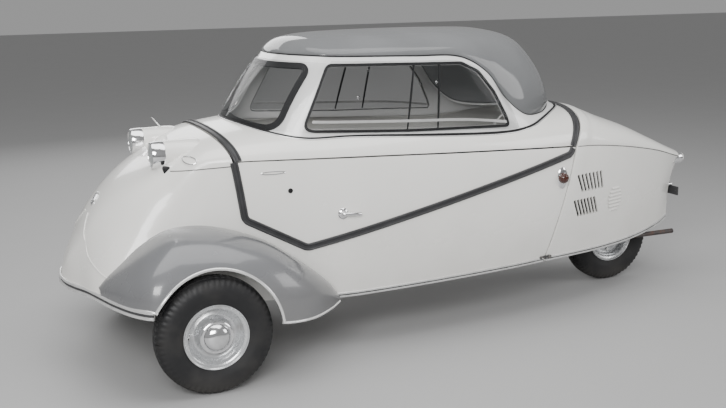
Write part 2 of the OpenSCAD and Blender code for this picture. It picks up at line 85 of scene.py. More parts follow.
# The glasshouse, from the front middle round the left side to the rear middle:
# foot x, y, z; shoulder under the dome x, y, z; the dome's middle line x, z.
GLASSHOUSE = np.array([
    [738, 0, 868, 562, 0, 1117, 562, 1118],
    [720, 150, 866, 542, 150, 1117, 549, 1140],
    [665, 280, 848, 470, 270, 1115, 502, 1170],
    [556, 348, 840, 396, 298, 1111, 420, 1186],
    [380, 358, 830, 270, 304, 1107, 270, 1193],
    [140, 363, 818, 80, 306, 1101, 60, 1195],
    [-100, 359, 807, -110, 304, 1091, -170, 1193],
    [-280, 348, 797, -236, 302, 1024, -340, 1184],
    [-385, 330, 798, -312, 304, 926, -500, 1140],
    [-470, 296, 808, -412, 294, 850, -600, 1040],
    [-580, 214, 830, -540, 214, 836, -655, 950],
    [-680, 110, 846, -640, 110, 848, -688, 885],
    [-728, 0, 852, -706, 0, 862, -710, 866],
])
REAR = len(GLASSHOUSE) - 1
BULGE = 8          # crown of the glasshouse's wall between foot and shoulder

# A front wing, from its rear tip to the nose: joint with the body x, y, z; lower edge x, y, z.
WING = np.array([
    [441, 350, 220, 446, 392, 210],
    [500, 372, 292, 510, 462, 208],
    [600, 384, 378, 612, 548, 214],
    [720, 376, 464, 730, 596, 230],
    [840, 360, 514, 850, 604, 262],
    [960, 342, 540, 970, 604, 262],
    [1070, 330, 532, 1085, 604, 290],
    [1160, 320, 484, 1180, 596, 331],
    [1225, 310, 430, 1240, 520, 331],
    [1275, 300, 384, 1278, 420, 330],
    [1304, 285, 346, 1303, 334, 330],
])
WING_WALL = 6
ARCH = 237         # radius of the wheel cut-out
NOSE_ARC = [
    (1180, 598, 318), (1202, 580, 318), (1242, 518, 318), (1280, 422, 318), (1307, 330, 318),
    (1338, 226, 318), (1370, 150, 318), (1392, 80, 318), (1401, 0, 318),
]
BAND = [(826, 764), (790, 551), (560, 425), (-606, 676), (-621, 699)]    # dark side moulding, x and z
COWL_SEAM = [(838, 750), (903, 746), (967, 741), (1030, 735)]            # x and z
NOSE_BEAD_Y = (0.03, 0.17, 0.37)            # raised line on the nose: half widths in metres, and heights
NOSE_BEAD_Z = (562, 500, 440, 400, 366)
WINDSCREEN = [(-300, 858), (-277, 1078), (277, 1078), (300, 858), (0, 882)]    # y and z of its corners
SIDE_WINDOW = [
    (560, 850), (440, 1082), (-110, 1068), (-185, 1032), (-250, 950),
    (-300, 850), (-312, 812), (-140, 818), (140, 826), (360, 838),
]    # x and z of its corners
PANE_KNOBS = ((330, 960), (0, 1000), (-262, 930))    # x and z
PANE_DEPTH = -9.5  # from the outside of the frame to a pane's
CABIN_HOLE_ROOM = 4
# Upper and lower end of each slot, x and z, in two groups of seven
LOUVRES = [((top + step * i, high), (foot + (step + shift) * i, low))
           for top, high, foot, low, step, shift in ((-651, 584, -688, 506, -23.7, 2.5),
                                                     (-639, 476, -676, 400, -20.4, 0.9))
           for i in range(7)]
LOUVRE_HALF = 6.4
VENT = (-905, 490, 16, 44)    # round vent: middle x, upper rib's z, pitch, half width

WHEEL_R = 207.5
FRONT_AXLE = 970
REAR_AXLE = -1057
WHEEL_Y = 540
LAMP = (1052, 190, 782)
# Rings of a headlamp's pod: middle x, y, z and half width and height
POD = [(1036, 190, 782, 48, 48), (1032, 190, 782, 50, 50), (1000, 189, 785, 52, 48), (960, 187, 788, 57, 46),
       (925, 184, 790, 64, 44), (902, 182, 788, 70, 42), (884, 180, 780, 74, 40)]
SIDE_LAMP = (-558, 584)       # x and z
TAIL_LAMP = (-1374, 96, 562)
HANDLE = (428, 546)           # x and z
BUTTON_AT = (626, 648)        # x and z
EMBLEM_AT = (16.55, 2.0)      # station and step on the nose
WIPER_STEP = -1.62            # step round the glasshouse of the wiper's hub
SEAM_R = 1.6

FRONT_CUSHION = ((-10, -208, 304), (420, 208, 388))
REAR_CUSHION = ((-478, -246, 334), (-182, 246, 418))
FRONT_LEGS = [(395, 236), (392, 290), (330, 298), (60, 298), (10, 290), (0, 236)]    # x and z
REAR_LEGS = [(-200, 240), (-200, 318), (-230, 326), (-440, 326), (-462, 316), (-462, 240)]
PEDAL_STALK = [(722, 346), (748, 330), (768, 302), (776, 268)]
DIAL_Z = 682
BAR_CENTRE = (520, 0, 660)
BAR_TILT = 128

CAMERA_AT = (1.777397, 3.731947, 1.364810)
CAMERA_TURN = (-1.9762094, -0.2154045, -0.0154803)    # yaw, pitch and roll
FOCAL, FRAME_WIDTH = 1000.134, 726

# ---- Profiles of strips, (across, out), and of turned shapes, (radius, along) --------------
BAND_PROFILE = [(-14, -3), (-14, 3.5), (-12, 6.5), (-8.5, 7.5), (-5.5, 5.5), (-4, 3), (4, 3), (5.5, 5.5),
                (8.5, 7.5), (12, 6.5), (14, 3.5), (14, -3)]
SCREEN_SEAL = [(-12, -6), (-12, 1.5), (-10, 4.5), (-5, 5), (-3, 2), (3, 2), (5, 5), (10, 4.5), (12, 1.5),
               (12, -6)]
WINDOW_SEAL = [(-7, -9), (-7, -1), (-4, 1.5), (3, 1), (3, -9)]
WIPER_ARM = [(-3, -1.5), (3, -1.5), (2, 1.5), (-2, 1.5)]
BLADE = [(-1.5, -6), (1.5, -6), (4, 0), (3, 4), (-3, 4), (-4, 0)]
PANE_KNOB = [(0, 12), (4, 11.5), (6.5, 9), (7, 6), (4, 3), (3.5, 0), (0, 0)]
WIPER_HUB = [(0, 0), (11, 0), (11, 8), (8, 12), (5, 22), (0, 23)]
LAMP_RING = [
    (44, 2), (50, 2), (51, 6), (50.5, 20), (49.5, 36), (48.5, 43), (46.5, 47.5), (43.5, 48), (42.5, 45),
    (44, 38), (45.5, 20),
]
LAMP_BOWL = [(0, 14), (12, 15), (24, 20), (34, 28), (41, 40), (42, 40), (35, 26), (24, 17), (12, 12), (0, 11)]
LAMP_BULB = [(0, 14), (6, 14), (6, 22), (8, 26), (8.5, 30), (6, 35), (0, 37)]
LAMP_LENS = [(0, 52), (14, 51.4), (28, 49.6), (38, 47), (43, 45), (43, 43), (38, 44.8), (28, 47.2), (14, 49),
             (0, 49.6)]
SIDE_LAMP_BASE = [(0, -4), (31, -4), (31, 3), (27, 7), (22, 8), (0, 8)]
SIDE_LAMP_LENS = [(0, 6), (22, 6), (22, 14), (20, 21), (14, 27), (6, 30), (0, 30.5)]
TAIL_LAMP_SHELL = [(0, -24), (22, -24), (26, -10), (26.5, 8), (24.5, 17), (0, 17)]
TAIL_LAMP_LENS = [(0, 14), (23, 14), (23, 21), (19, 28), (10, 31), (0, 32)]
HANDLE_ROSE = [(0, -2), (21, -2), (21, 2), (17, 6), (12, 8), (10, 14), (0, 14)]
HANDLE_LEVER = ((8, 12, 2), (0, 18, 1), (-24, 21, -1), (-48, 19, -3), (-64, 16, -5))    # from the rose
EMBLEM = [(0, -3), (22, -3), (22, 2), (18, 6), (13, 6.5), (11, 4), (8, 7), (0, 9)]
CLAMP_BOLT = [(0, -8), (5, -8), (7, -6), (7, 8), (5, 11), (0, 12)]
COWL_ROD = [(956, -190, 828), (966, -190, 843), (978, -190, 858), (989, -190, 872)]
BUTTON = [(0, -2), (9, -2), (9, 2), (7, 4), (0, 4.5)]
TYRE_PROFILE = [
    (106, -38), (113, -41), (124, -44), (136, -49), (150, -51.5), (166, -51.5), (180, -49), (188, -45.5),
    (193, -43), (199, -38), (202.5, -32), (204.6, -25.5), (204.6, -23), (199.5, -22), (199.5, -19),
    (205.8, -18), (206.4, -11), (206.6, -8.5), (201, -7.5), (201, -4.5), (207, -3.5), (207.2, 0),
]
WHEEL_PROFILE = [
    (12, 9), (12, 41), (35, 41), (37, 38), (37, 22), (44, 16), (58, 14.5), (66, 18), (76, 19), (84, 14),
    (90, 12), (95, 17), (97.5, 26), (99, 38), (103, 41), (109, 42), (112.5, 45.5), (114.5, 45.5),
    (115.5, 43), (114, 40.5), (108, 39), (105, 33), (101.5, 24), (99, 8), (97, 0), (99, -12),
    (103, -28), (105, -38), (112, -42), (115, -44.5), (114, -46), (110, -45), (102, -41), (99, -32),
    (94, -14), (88, 4), (70, 9), (50, 9), (34, 10),
]
HUBCAP_PROFILE = [
    (57, 41), (58.5, 44), (58, 47), (55, 49), (51, 48), (48, 49), (44, 55), (38, 61), (29, 66.5),
    (18, 69.5), (8, 70.6), (0, 70.8),
]
WHEEL_HOLE = [(0, -2), (6.5, -2), (6.5, 30), (0, 30)]
WHEEL_NUT = [(0, 15), (7.5, 15), (7.5, 22), (6, 24), (0, 24.5)]
HUB_NUT = [(0, 41), (20, 41), (20, 46), (15, 50), (12, 58), (0, 59)]
VALVE = ((92, 14, 8), (93, 22, 8), (95, 32, 8), (97, 40, 8))    # from the wheel's centre
SPEEDO_RING = [(34, -4), (42, -4), (43, 2), (41, 8), (37, 10), (35, 8), (35, 3), (34, 3)]
DASH_KNOB = [(0, -2), (6, -2), (5, 6), (10, 9), (12, 14), (10, 19), (0, 20)]
GRIP_END = [(0, 198), (10, 198), (13, 194), (13.5, 186), (11, 182), (13, 178)]
BAR = [(0, -120), (9, -120), (9, -60), (10.5, -50), (10.5, 50), (9, 60), (9, 120), (0, 120)]
BAR_BOSS = [(0, -10), (28, -10), (34, -4), (34, 6), (30, 11), (20, 14), (0, 15)]


# ---- Curves and curved faces ---------------------------------------------------------------
def smooth(table, s):
    """Smooth curve through the rows of a table, at steps s."""
    table, s = np.asarray(table, float), np.asarray(s, float)
    slope = np.gradient(table, axis=0)
    i = np.clip(np.floor(s).astype(int), 0, len(table) - 2)
    t = (s - i)[..., None]
    a, b, m, n = table[i], table[i + 1], slope[i], slope[i + 1]
    return a + t * (m + t * ((3 * (b - a) - 2 * m - n) + t * (2 * (a - b) + m + n)))


def blend(a, b, t):
    return a + (b - a) * t


def bezier(corners, t):
    a, b, c, d = (np.stack(np.broadcast_arrays(*corner), -1) for corner in corners)
    t = np.asarray(t, float)[..., None]
    r = 1 - t
    return r ** 3 * a + 3 * r * r * t * b + 3 * r * t * t * c + t ** 3 * d


def skin(s, w):
    """The body at station s, from the left bottom edge (w = 0) over the left seam (1), the
    middle line (2) and the right seam (3) to the right bottom edge (4)."""
    s, w = np.broadcast_arrays(np.asarray(s, float), np.asarray(w, float))
    right = w > 2
    v = np.where(right, 4 - w, w)
    bx, bz, by, w1, w2, mx, mz, my, tx, tz = np.moveaxis(smooth(STATIONS, s), -1, 0)
    side = bezier([(bx, by, bz), (blend(bx, mx, 1 / 3), w1, blend(bz, mz, 0.33)),
                   (blend(bx, mx, 2 / 3), w2, blend(bz, mz, 0.72)), (mx, my, mz)], np.clip(v, -0.2, 1))
    top = bezier([(mx, my, mz), (blend(mx, tx, 0.4), my * 0.97, blend(mz, tz, 0.68)),
                  (tx, my * 0.62, tz), (tx, 0 * tx, tz)], np.clip(v - 1, 0, 1))
    point = np.where((v <= 1)[..., None], side, top)
    point[..., 1] *= np.where(right, -1, 1)
    return point * MM


def nose_skin(s, w):
    """The nose, with the ridge between its sides and its top rounded off."""
    s, w = np.broadcast_arrays(np.asarray(s, float), np.asarray(w, float))
    v = np.minimum(w, 4 - w)
    spread = 0.42 * np.clip((s - 12.3) / 1.5, 0, 1) * np.clip(v / 0.6, 0, 1)
    steps = np.arange(-3, 4)
    shares = np.array([1, 3, 6, 7, 6, 3, 1]) / 27
    return sum(share * skin(s, w + spread * step / 3) for step, share in zip(steps, shares))


def round_table(columns, t):
    """Part of the glasshouse's table, at step t round it: right rear < 0 < left rear."""
    left = GLASSHOUSE[:, columns]
    right = left[:0:-1].copy()
    if len(columns) == 3:
        right[:, 1] *= -1
    return smooth(np.concatenate([right, left]), np.asarray(t, float) + REAR)


def glass_wall(t, h):
    """The glasshouse's wall at step t round it, from its foot (h = 0) to its shoulder (1)."""
    t, h = np.broadcast_arrays(np.asarray(t, float), np.asarray(h, float))
    a, b = round_table([0, 1, 2], t), round_table([3, 4, 5], t)
    out = np.stack([a[..., 0] * 0.35, a[..., 1], 0 * a[..., 0]], -1)
    out /= np.linalg.norm(out, axis=-1, keepdims=True)
    crown = BULGE * np.sin(math.pi * h) * np.minimum(1, (b[..., 2] - a[..., 2]) / 200)
    return (blend(a, b, h[..., None]) + crown[..., None] * out) * MM


def dome_skin(t, k):
    """The dome at rib t (0 front, REAR back), from the left shoulder (k = 0) over its ridge (1)
    to the right shoulder (2)."""
    t, k = np.broadcast_arrays(np.asarray(t, float), np.asarray(k, float))
    right = k > 1
    v = np.where(right, 2 - k, k)
    ax, ay, az = np.moveaxis(round_table([3, 4, 5], t), -1, 0)
    bx, bz = np.moveaxis(round_table([6, 7], t), -1, 0)
    point = bezier([(ax, ay, az), (blend(ax, bx, 0.12), ay, blend(az, bz, 0.56)),
                    (bx, ay * 0.56, bz), (bx, 0 * bx, bz)], v)
    point[..., 1] *= np.where(right, -1, 1)
    return point * MM


def wing_skin(s, u):
    """A left wing's outside, from its joint with the body (u = 0) to its lower edge (1)."""
    s, u = np.broadcast_arrays(np.asarray(s, float), np.asarray(u, float))
    jx, jy, jz, ex, ey, ez = np.moveaxis(smooth(WING, s), -1, 0)
    return bezier([(jx, jy, jz), (jx, blend(jy, ey, 0.72), jz + 6),
                   (ex, ey + 4, blend(ez, jz, 0.72)), (ex, ey, ez)], u) * MM


def normals(face, s, w):
    """Directions out of a curved face."""
    e = 1e-3
    s, w = np.broadcast_arrays(np.asarray(s, float), np.asarray(w, float))
    n = np.cross(face(s, w + e) - face(s, w - e), face(s + e, w) - face(s - e, w))
    return n / np.maximum(np.linalg.norm(n, axis=-1, keepdims=True), 1e-12)


def raised(face, height, sign=1):
    """The same face, standing out by a height in millimetres."""
    return lambda s, w: face(s, w) + sign * height * MM * normals(face, s, w)


def mirrored(face):
    return lambda s, w: face(s, w) * np.array([1, -1, 1])


def locate(face, axes, target, guess):
    """The steps (s, w) at which a curved face meets target values on two axes."""
    q = np.array(guess, float)
    for _ in range(25):
        e = 1e-4
        p = face(q[0], q[1])[..., axes]
        ds = (face(q[0] + e, q[1])[..., axes] - p) / e
        dw = (face(q[0], q[1] + e)[..., axes] - p) / e
        r = target - p
        det = ds[..., 0] * dw[..., 1] - ds[..., 1] * dw[..., 0]
        step = np.stack([r[..., 0] * dw[..., 1] - r[..., 1] * dw[..., 0],
                         ds[..., 0] * r[..., 1] - ds[..., 1] * r[..., 0]]) / det
        q += np.clip(step, -0.5, 0.5)
    return q


def rounded(corners, radius, closed=True, steps=8, reach=None):
    """A flat outline with its corners rounded, and points at most reach apart."""
    corners = np.asarray(corners, float)
    count, line = len(corners), []
    for i, corner in enumerate(corners):
        if not closed and i in (0, count - 1):
            line.append(corner)
            continue
        a, b = corners[i - 1] - corner, corners[(i + 1) % count] - corner
        la, lb = np.linalg.norm(a), np.linalg.norm(b)
        a, b = a / la, b / lb
        half = math.acos(np.clip(a @ b, -1, 1)) / 2
        back = min(radius / math.tan(half), 0.49 * la, 0.49 * lb)
        p, q = corner + a * back, corner + b * back
        line += [(1 - t) ** 2 * p + 2 * t * (1 - t) * corner + t * t * q
                 for t in np.linspace(0, 1, steps)]
    if not reach:
        return np.array(line)
    dense = []
    for i in range(len(line) if closed else len(line) - 1):
        a, b = line[i], line[(i + 1) % len(line)]
        n = max(1, math.ceil(np.linalg.norm(b - a) / reach))
        dense += [blend(a, b, k / n) for k in range(n)]
    return np.array(dense if closed else dense + [line[-1]])


# ---- Work on pieces ------------------------------------------------------------------------
def deselect():
    bpy.ops.object.select_all(action="DESELECT")


def pick(*pieces):
    """These pieces, and no others, are selected, and the first is active."""
    deselect()
    for piece in pieces:
        piece.select_set(True)
    bpy.context.view_layer.objects.active = pieces[0]


def edit(piece, *steps):
    """Runs edit-mode operators on all of a piece."""
    pick(piece)
    bpy.ops.object.mode_set(mode="EDIT")
    bpy.ops.mesh.select_all(action="SELECT")
    for step in steps:
        step()
    bpy.ops.object.mode_set(mode="OBJECT")


def weld(piece, reach=1e-5):
    edit(piece, lambda: bpy.ops.mesh.remove_doubles(threshold=reach))


def settle(piece):
    """Closed shapes get their normals turned outwards."""
    edit(piece, lambda: bpy.ops.mesh.remove_doubles(threshold=1e-6),
         lambda: bpy.ops.mesh.normals_make_consistent(inside=False))


def modify(piece, kind, **settings):
    pick(piece)
    modifier = piece.modifiers.new(kind, kind)
    for name, value in settings.items():
        setattr(modifier, name, value)
    bpy.ops.object.modifier_apply(modifier=modifier.name)
    return piece


def soften(piece, angle=35):
    pick(piece)
    bpy.ops.object.shade_smooth_by_angle(angle=math.radians(angle))
    return piece


def grid(name, points):
    """A grid primitive whose vertices go to rows of points."""
    rows, columns = points.shape[:2]
    deselect()
    bpy.ops.mesh.primitive_grid_add(x_subdivisions=columns - 1, y_subdivisions=rows - 1, size=1)
    piece = bpy.context.object
    piece.name = piece.data.name = name
    piece.data.vertices.foreach_set("co", np.ascontiguousarray(points, np.float32).ravel())
    piece.data.update()
    return piece


def face_from(piece, centre):
    """Turns an open sheet's faces away from a point inside it."""
    mesh = piece.data
    mesh.update()
    centres, turned_to = np.empty(len(mesh.polygons) * 3), np.empty(len(mesh.polygons) * 3)
    mesh.polygons.foreach_get("center", centres)
    mesh.polygons.foreach_get("normal", turned_to)
    out = (centres.reshape(-1, 3) - np.array(centre)) * turned_to.reshape(-1, 3)
    if out.sum() < 0:
        edit(piece, lambda: bpy.ops.mesh.flip_normals())


def panel(name, face, rows, columns, thick, centre=(0, 0, 0.5), rim=1.5):
    """A pressed panel: a curved face with a wall behind it and softened edges."""
    s, w = np.meshgrid(rows, columns, indexing="ij")
    piece = grid(name, face(s, w))
    weld(piece)
    face_from(piece, centre)
    modify(piece, "SOLIDIFY", thickness=thick * MM, offset=-1, use_even_offset=True)
    if rim:
        modify(piece, "BEVEL", width=rim * MM, segments=2, limit_method="ANGLE",
               angle_limit=math.radians(50))
    return soften(piece)


def sweep(name, path, outward, profile, closed=False):
    """A strip with a closed profile, (across, out) in millimetres, along a path of points whose
    outward directions are given."""
    path, outward = np.asarray(path, float), np.asarray(outward, float)
    if closed:
        along = np.roll(path, -1, 0) - np.roll(path, 1, 0)
    else:
        along = np.gradient(path, axis=0)
    along /= np.maximum(np.linalg.norm(along, axis=1, keepdims=True), 1e-12)
    across = np.cross(along, outward)
    across /= np.maximum(np.linalg.norm(across, axis=1, keepdims=True), 1e-12)
    profile = np.array(list(profile) + [profile[0]]) * MM
    points = path[:, None] + profile[None, :, :1] * across[:, None] + profile[None, :, 1:] * outward[:, None]
    if closed:
        points = np.concatenate([points, points[:1]])
    piece = grid(name, points)
    weld(piece)
    if not closed:
        edit(piece, lambda: bpy.ops.mesh.select_all(action="DESELECT"),
             lambda: bpy.ops.mesh.select_non_manifold(extend=False, use_wire=False, use_multi_face=False,
                                                      use_non_contiguous=False, use_verts=False),
             lambda: bpy.ops.mesh.fill())
    settle(piece)
    return soften(piece, 40)


def strip_profile(half, low, high):
    """Flat profile for a strip."""
    return [(-half, low), (half, low), (half, high), (-half, high)]


def disc(radius, sides=10, x=0, y=0, squash=1):
    """Round profile for a bead."""
    return [(x + radius * math.cos(a), y + squash * radius * math.sin(a))
            for a in np.arange(sides) * 2 * math.pi / sides]


def turned(name, profile, centre=(0, 0, 0), axis="Y", sides=64, turn=1):
    """A shape turned on an axis: a ring is extruded from each (radius, along) of its profile to
    the next, in millimetres."""
    deselect()
    bpy.ops.mesh.primitive_circle_add(vertices=sides, radius=max(profile[0][0], 0.01) * MM)
    piece = bpy.context.object
    piece.name = piece.data.name = name
    bpy.ops.object.mode_set(mode="EDIT")
    bpy.ops.mesh.select_all(action="SELECT")
    bpy.ops.transform.translate(value=(0, 0, profile[0][1] * MM))
    for (r0, a0), (r1, a1) in zip(profile, profile[1:]):
        bpy.ops.mesh.extrude_region_move(TRANSFORM_OT_translate={"value": (0, 0, (a1 - a0) * MM)})
        k = max(r1, 0.01) / max(r0, 0.01)
        bpy.ops.transform.resize(value=(k, k, 1), center_override=(0, 0, a1 * MM))
    bpy.ops.object.mode_set(mode="OBJECT")
    rotation = {"X": Matrix.Rotation(math.pi / 2, 4, "Y"), "Y": Matrix.Rotation(-math.pi / 2, 4, "X"),
                "Z": Matrix.Identity(4)}[axis]
    if turn < 0:
        rotation = rotation @ Matrix.Rotation(math.pi, 4, "X")
    piece.data.transform(Matrix.Translation(Vector(centre) * MM) @ rotation)
    weld(piece, 3e-5)
    settle(piece)
    return soften(piece)


def prism(name, outline, axis, low, high):
    """A cutter with a flat outline, standing along an axis from low to high, in millimetres."""
    deselect()
    bpy.ops.mesh.primitive_circle_add(vertices=len(outline), radius=1, fill_type="NGON")
    piece = bpy.context.object
    piece.name = name
    for vertex, flat in zip(piece.data.vertices, outline):
        place = list(flat)
        place.insert("XYZ".index(axis), low)
        vertex.co = Vector(place) * MM
    move = Vector([(high - low) * MM * (letter == axis) for letter in "XYZ"])
    edit(piece, lambda: bpy.ops.mesh.extrude_region_move(TRANSFORM_OT_translate={"value": move}))
    settle(piece)
    return piece


def cut(piece, *cutters):
    for cutter in cutters:
        modify(piece, "BOOLEAN", operation="DIFFERENCE", solver="EXACT", object=cutter)
        bpy.data.objects.remove(cutter)
    return soften(piece)


def join(*pieces):
    pick(*pieces)
    bpy.ops.object.join()
    return bpy.context.object


def block(name, low, high, rim=2, segments=3, turn=None, about=None):
    """A rounded block between two corners, in millimetres."""
    deselect()
    low, high = np.array(low, float), np.array(high, float)
    bpy.ops.mesh.primitive_cube_add(size=1)
    piece = bpy.context.object
    piece.name = piece.data.name = name
    size, middle = (high - low) * MM, (high + low) / 2 * MM
    piece.data.transform(Matrix.Translation(middle) @ Matrix.Diagonal((*size, 1)))
    modify(piece, "BEVEL", width=rim * MM, segments=segments)
    if turn:
        about = Vector(about if about else (high + low) / 2) * MM
        piece.data.transform(Matrix.Translation(about) @ turn @ Matrix.Translation(-about))
    return soften(piece)


def tube(name, points, radius, sides=12, closed=False):
    """A round rod or cable through points, in millimetres."""
    points = np.asarray(points, float)
    if not closed:
        points = smooth(points, np.linspace(0, len(points) - 1, 4 * len(points)))
    along = np.gradient(points, axis=0)
    upright = abs(along[:, 2]).max() >= 0.9 * np.linalg.norm(along, axis=1).max()
    helper = np.array([0, 1.0, 0]) if upright else np.array([0, 0, 1.0])
    outward = np.cross(np.cross(along, helper), along)
    outward /= np.linalg.norm(outward, axis=1, keepdims=True)
    return sweep(name, points * MM, outward, disc(radius, sides), closed)


def finish(piece, material, slot, body, *nodes):
    """Gives a piece its material, the body it rides on and the nodes it replaces; the slot argument is not
    used.
    """
    if material:
        piece.data.materials.clear()
        piece.data.materials.append(material)
    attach(piece, body)
    if nodes:
        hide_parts(*nodes)
    return piece


# ---- Materials -----------------------------------------------------------------------------
class Value:
    """An output of a finish's nodes. Sums on it add Math nodes."""

    def __init__(self, paint, socket):
        self.paint, self.socket = paint, socket

    def sum(self, operation, a, b):
        return self.paint.node("ShaderNodeMath", {"operation": operation}, {0: a, 1: b})

    def __add__(self, other):
        return self.sum("ADD", self, other)

    def __sub__(self, other):
        return self.sum("SUBTRACT", self, other)

    def __rsub__(self, other):
        return self.sum("SUBTRACT", other, self)

    def __mul__(self, other):
        return self.sum("MULTIPLY", self, other)

    __radd__, __rmul__ = __add__, __mul__


class Finish:
    """A material in the making."""

    def __init__(self, name, colour, roughness, metallic=0.0, **sockets):
        self.material = bpy.data.materials.new(name)
        self.material.use_nodes = True
        self.tree = self.material.node_tree
        self.shader = self.tree.nodes["Principled BSDF"]
        self.put("Base Color", (*colour, 1))
        self.put("Roughness", roughness)
        self.put("Metallic", metallic)
        for socket, value in sockets.items():
            self.put(socket.replace("_", " "), value)
        self.place = self.node("ShaderNodeTexCoord", output="Object")

    def node(self, kind, settings=None, inputs=None, output=0):
        """Adds a node: its settings first, a ramp's stops among them, then its sockets."""
        node = self.tree.nodes.new(kind)
        for name, value in (settings or {}).items():
            if name == "stops":
                ramp = node.color_ramp
                while len(ramp.elements) < len(value):
                    ramp.elements.new(0.5)
                for element, (at, shade) in zip(ramp.elements, value):
                    element.position, element.color = at, (shade, shade, shade, 1)
            else:
                setattr(node, name, value)
        for name, value in (inputs or {}).items():
            self.join(value, node.inputs[name])
        return Value(self, node.outputs[output])

    def join(self, value, socket):
        if isinstance(value, Value):
            self.tree.links.new(value.socket, socket)
        else:
            socket.default_value = value

    def put(self, socket, value):
        self.join(value, self.shader.inputs[socket])
        return self

    def noise(self, scale, detail=3.0, stretch=None, roughness=0.5):
        where = self.place
        if stretch:
            where = self.node("ShaderNodeMapping", None, {"Vector": where, "Scale": stretch})
        return self.node("ShaderNodeTexNoise", None,
                         {"Vector": where, "Scale": scale, "Detail": detail, "Roughness": roughness})

    def band(self, value, low, high):
        """0 below low, 1 above high."""
        return self.node("ShaderNodeMapRange", {"interpolation_type": "SMOOTHSTEP"},
                         {"Value": value, "From Min": low, "From Max": high})

    def height(self):
        return self.node("ShaderNodeSeparateXYZ", None, {"Vector": self.place}, output="Z")

    def mix(self, a, b, factor):
        a, b = ((*c, 1) if isinstance(c, tuple) and len(c) == 3 else c for c in (a, b))
        return self.node("ShaderNodeMix", {"data_type": "RGBA"}, {0: factor, 6: a, 7: b}, output=2)

    def bump(self, height, distance, strength=1.0):
        return self.put("Normal", self.node("ShaderNodeBump", None, {
            "Height": height, "Distance": distance, "Strength": strength}))

    def edges(self):
        """1 along sharp edges, where hands and cloths wear a finish."""
        return self.band(self.node("ShaderNodeNewGeometry", output="Pointiness"), 0.53, 0.62)


def enamel(name, colour, dirt):
    """Gloss enamel on pressed steel, with road film low down and slight ripples."""
    paint = Finish(name, colour, 0.22, Coat_Weight=0.6, Coat_Roughness=0.06, Specular_IOR_Level=0.5)
    cloud = paint.noise(1.7, 4.0)
    low = 1 - paint.band(paint.height(), 0.20, 0.52)
    film = low * paint.noise(9.0, 5.0) * dirt
    shade = tuple(c * 0.94 for c in colour)
    dusty = tuple(0.55 * c + 0.45 * d for c, d in zip(colour, (0.30, 0.27, 0.23)))
    paint.put("Base Color", paint.mix(paint.mix(colour, shade, paint.band(cloud, 0.35, 0.65)), dusty, film))
    paint.put("Roughness", 0.2 + 0.1 * paint.noise(14.0, 3.0) + film * 0.35)
    ripple = paint.noise(6.0, 1.0) * 3.0 + paint.noise(420.0, 1.0) * 0.05
    return paint.bump(ripple, 0.0006, 0.35).material


def chromium(name, colour, roughness=0.07, metallic=1.0):
    paint = Finish(name, colour, roughness, metallic)
    haze = paint.band(paint.noise(22.0, 5.0), 0.45, 0.75)
    paint.put("Roughness", roughness + haze * 0.10 + paint.noise(300.0, 2.0, (1, 8, 1)) * 0.04)
    paint.put("Base Color", paint.mix(colour, tuple(0.8 * c for c in colour), haze))
    return paint.bump(paint.noise(35.0, 2.0), 0.0004, 0.2).material


def moulded(name, colour, roughness, grain=380.0, depth=0.0004):
    """Rubber or moulded plastic with a fine skin."""
    paint = Finish(name, colour, roughness, Specular_IOR_Level=0.3)
    cloud = paint.noise(18.0, 4.0)
    pale = tuple(min(1, 1.5 * c + 0.006) for c in colour)
    paint.put("Base Color", paint.mix(colour, pale, paint.band(cloud, 0.4, 0.8) * 0.5 + paint.edges() * 0.3))
    paint.put("Roughness", roughness - 0.08 + 0.2 * cloud)
    return paint.bump(paint.noise(grain, 3.0), depth, 0.5).material


def tyre_rubber():
    black = (0.013, 0.013, 0.014)
    paint = Finish("tyre rubber", black, 0.62, Specular_IOR_Level=0.35)
    dust = paint.band(paint.noise(13.0, 5.0), 0.42, 0.8)
    low = 1 - paint.band(paint.height(), 0.0, 0.09)
    worn = dust * 0.14 + low * 0.25 + paint.edges() * 0.12
    paint.put("Base Color", paint.mix(black, (0.12, 0.112, 0.10), worn))
    paint.put("Roughness", 0.5 + 0.3 * dust)
    return paint.bump(paint.noise(500.0, 3.0) * 0.4 + paint.noise(90.0, 2.0), 0.0007, 0.5).material


def vinyl(name, colour, leather=True):
    """Grained covering: a cell pattern pressed into the face, paler where it is rubbed."""
    paint = Finish(name, colour, 0.48, Sheen_Weight=0.08)
    cells = paint.node("ShaderNodeTexVoronoi", {"feature": "DISTANCE_TO_EDGE"},
                       {"Vector": paint.place, "Scale": 340.0 if leather else 520.0})
    grain = paint.band(cells, 0.0, 0.12)
    rubbed = paint.band(paint.noise(7.0, 4.0), 0.45, 0.75)
    top = paint.mix(colour, tuple(1.35 * c + 0.01 for c in colour), rubbed)
    paint.put("Base Color", paint.mix(tuple(0.6 * c for c in colour), top, grain))
    paint.put("Roughness", 0.5 - rubbed * 0.12 + 0.08 * paint.noise(60.0))
    return paint.bump(grain + paint.noise(160.0, 2.0) * 0.6, 0.0007, 0.6).material


def tweed(name, dark, pale):
    """Woven seat cloth in two yarns."""
    paint = Finish(name, dark, 0.85, Sheen_Weight=0.25, Sheen_Roughness=0.5)
    warp, weft = (paint.node("ShaderNodeTexWave", {"wave_type": "BANDS", "bands_direction": way},
                             {"Vector": paint.place, "Scale": 150.0, "Distortion": 0.6}) for way in "YX")
    weave = warp * weft
    fleck = paint.band(paint.noise(240.0, 3.0), 0.5, 0.6)
    paint.put("Base Color", paint.mix(dark, pale, paint.band(weave, 0.1, 0.7) * (0.35 + 0.65 * fleck)))
    paint.put("Roughness", 0.8 + 0.15 * weave)
    return paint.bump(weave + 0.4 * paint.noise(300.0), 0.0009, 0.7).material


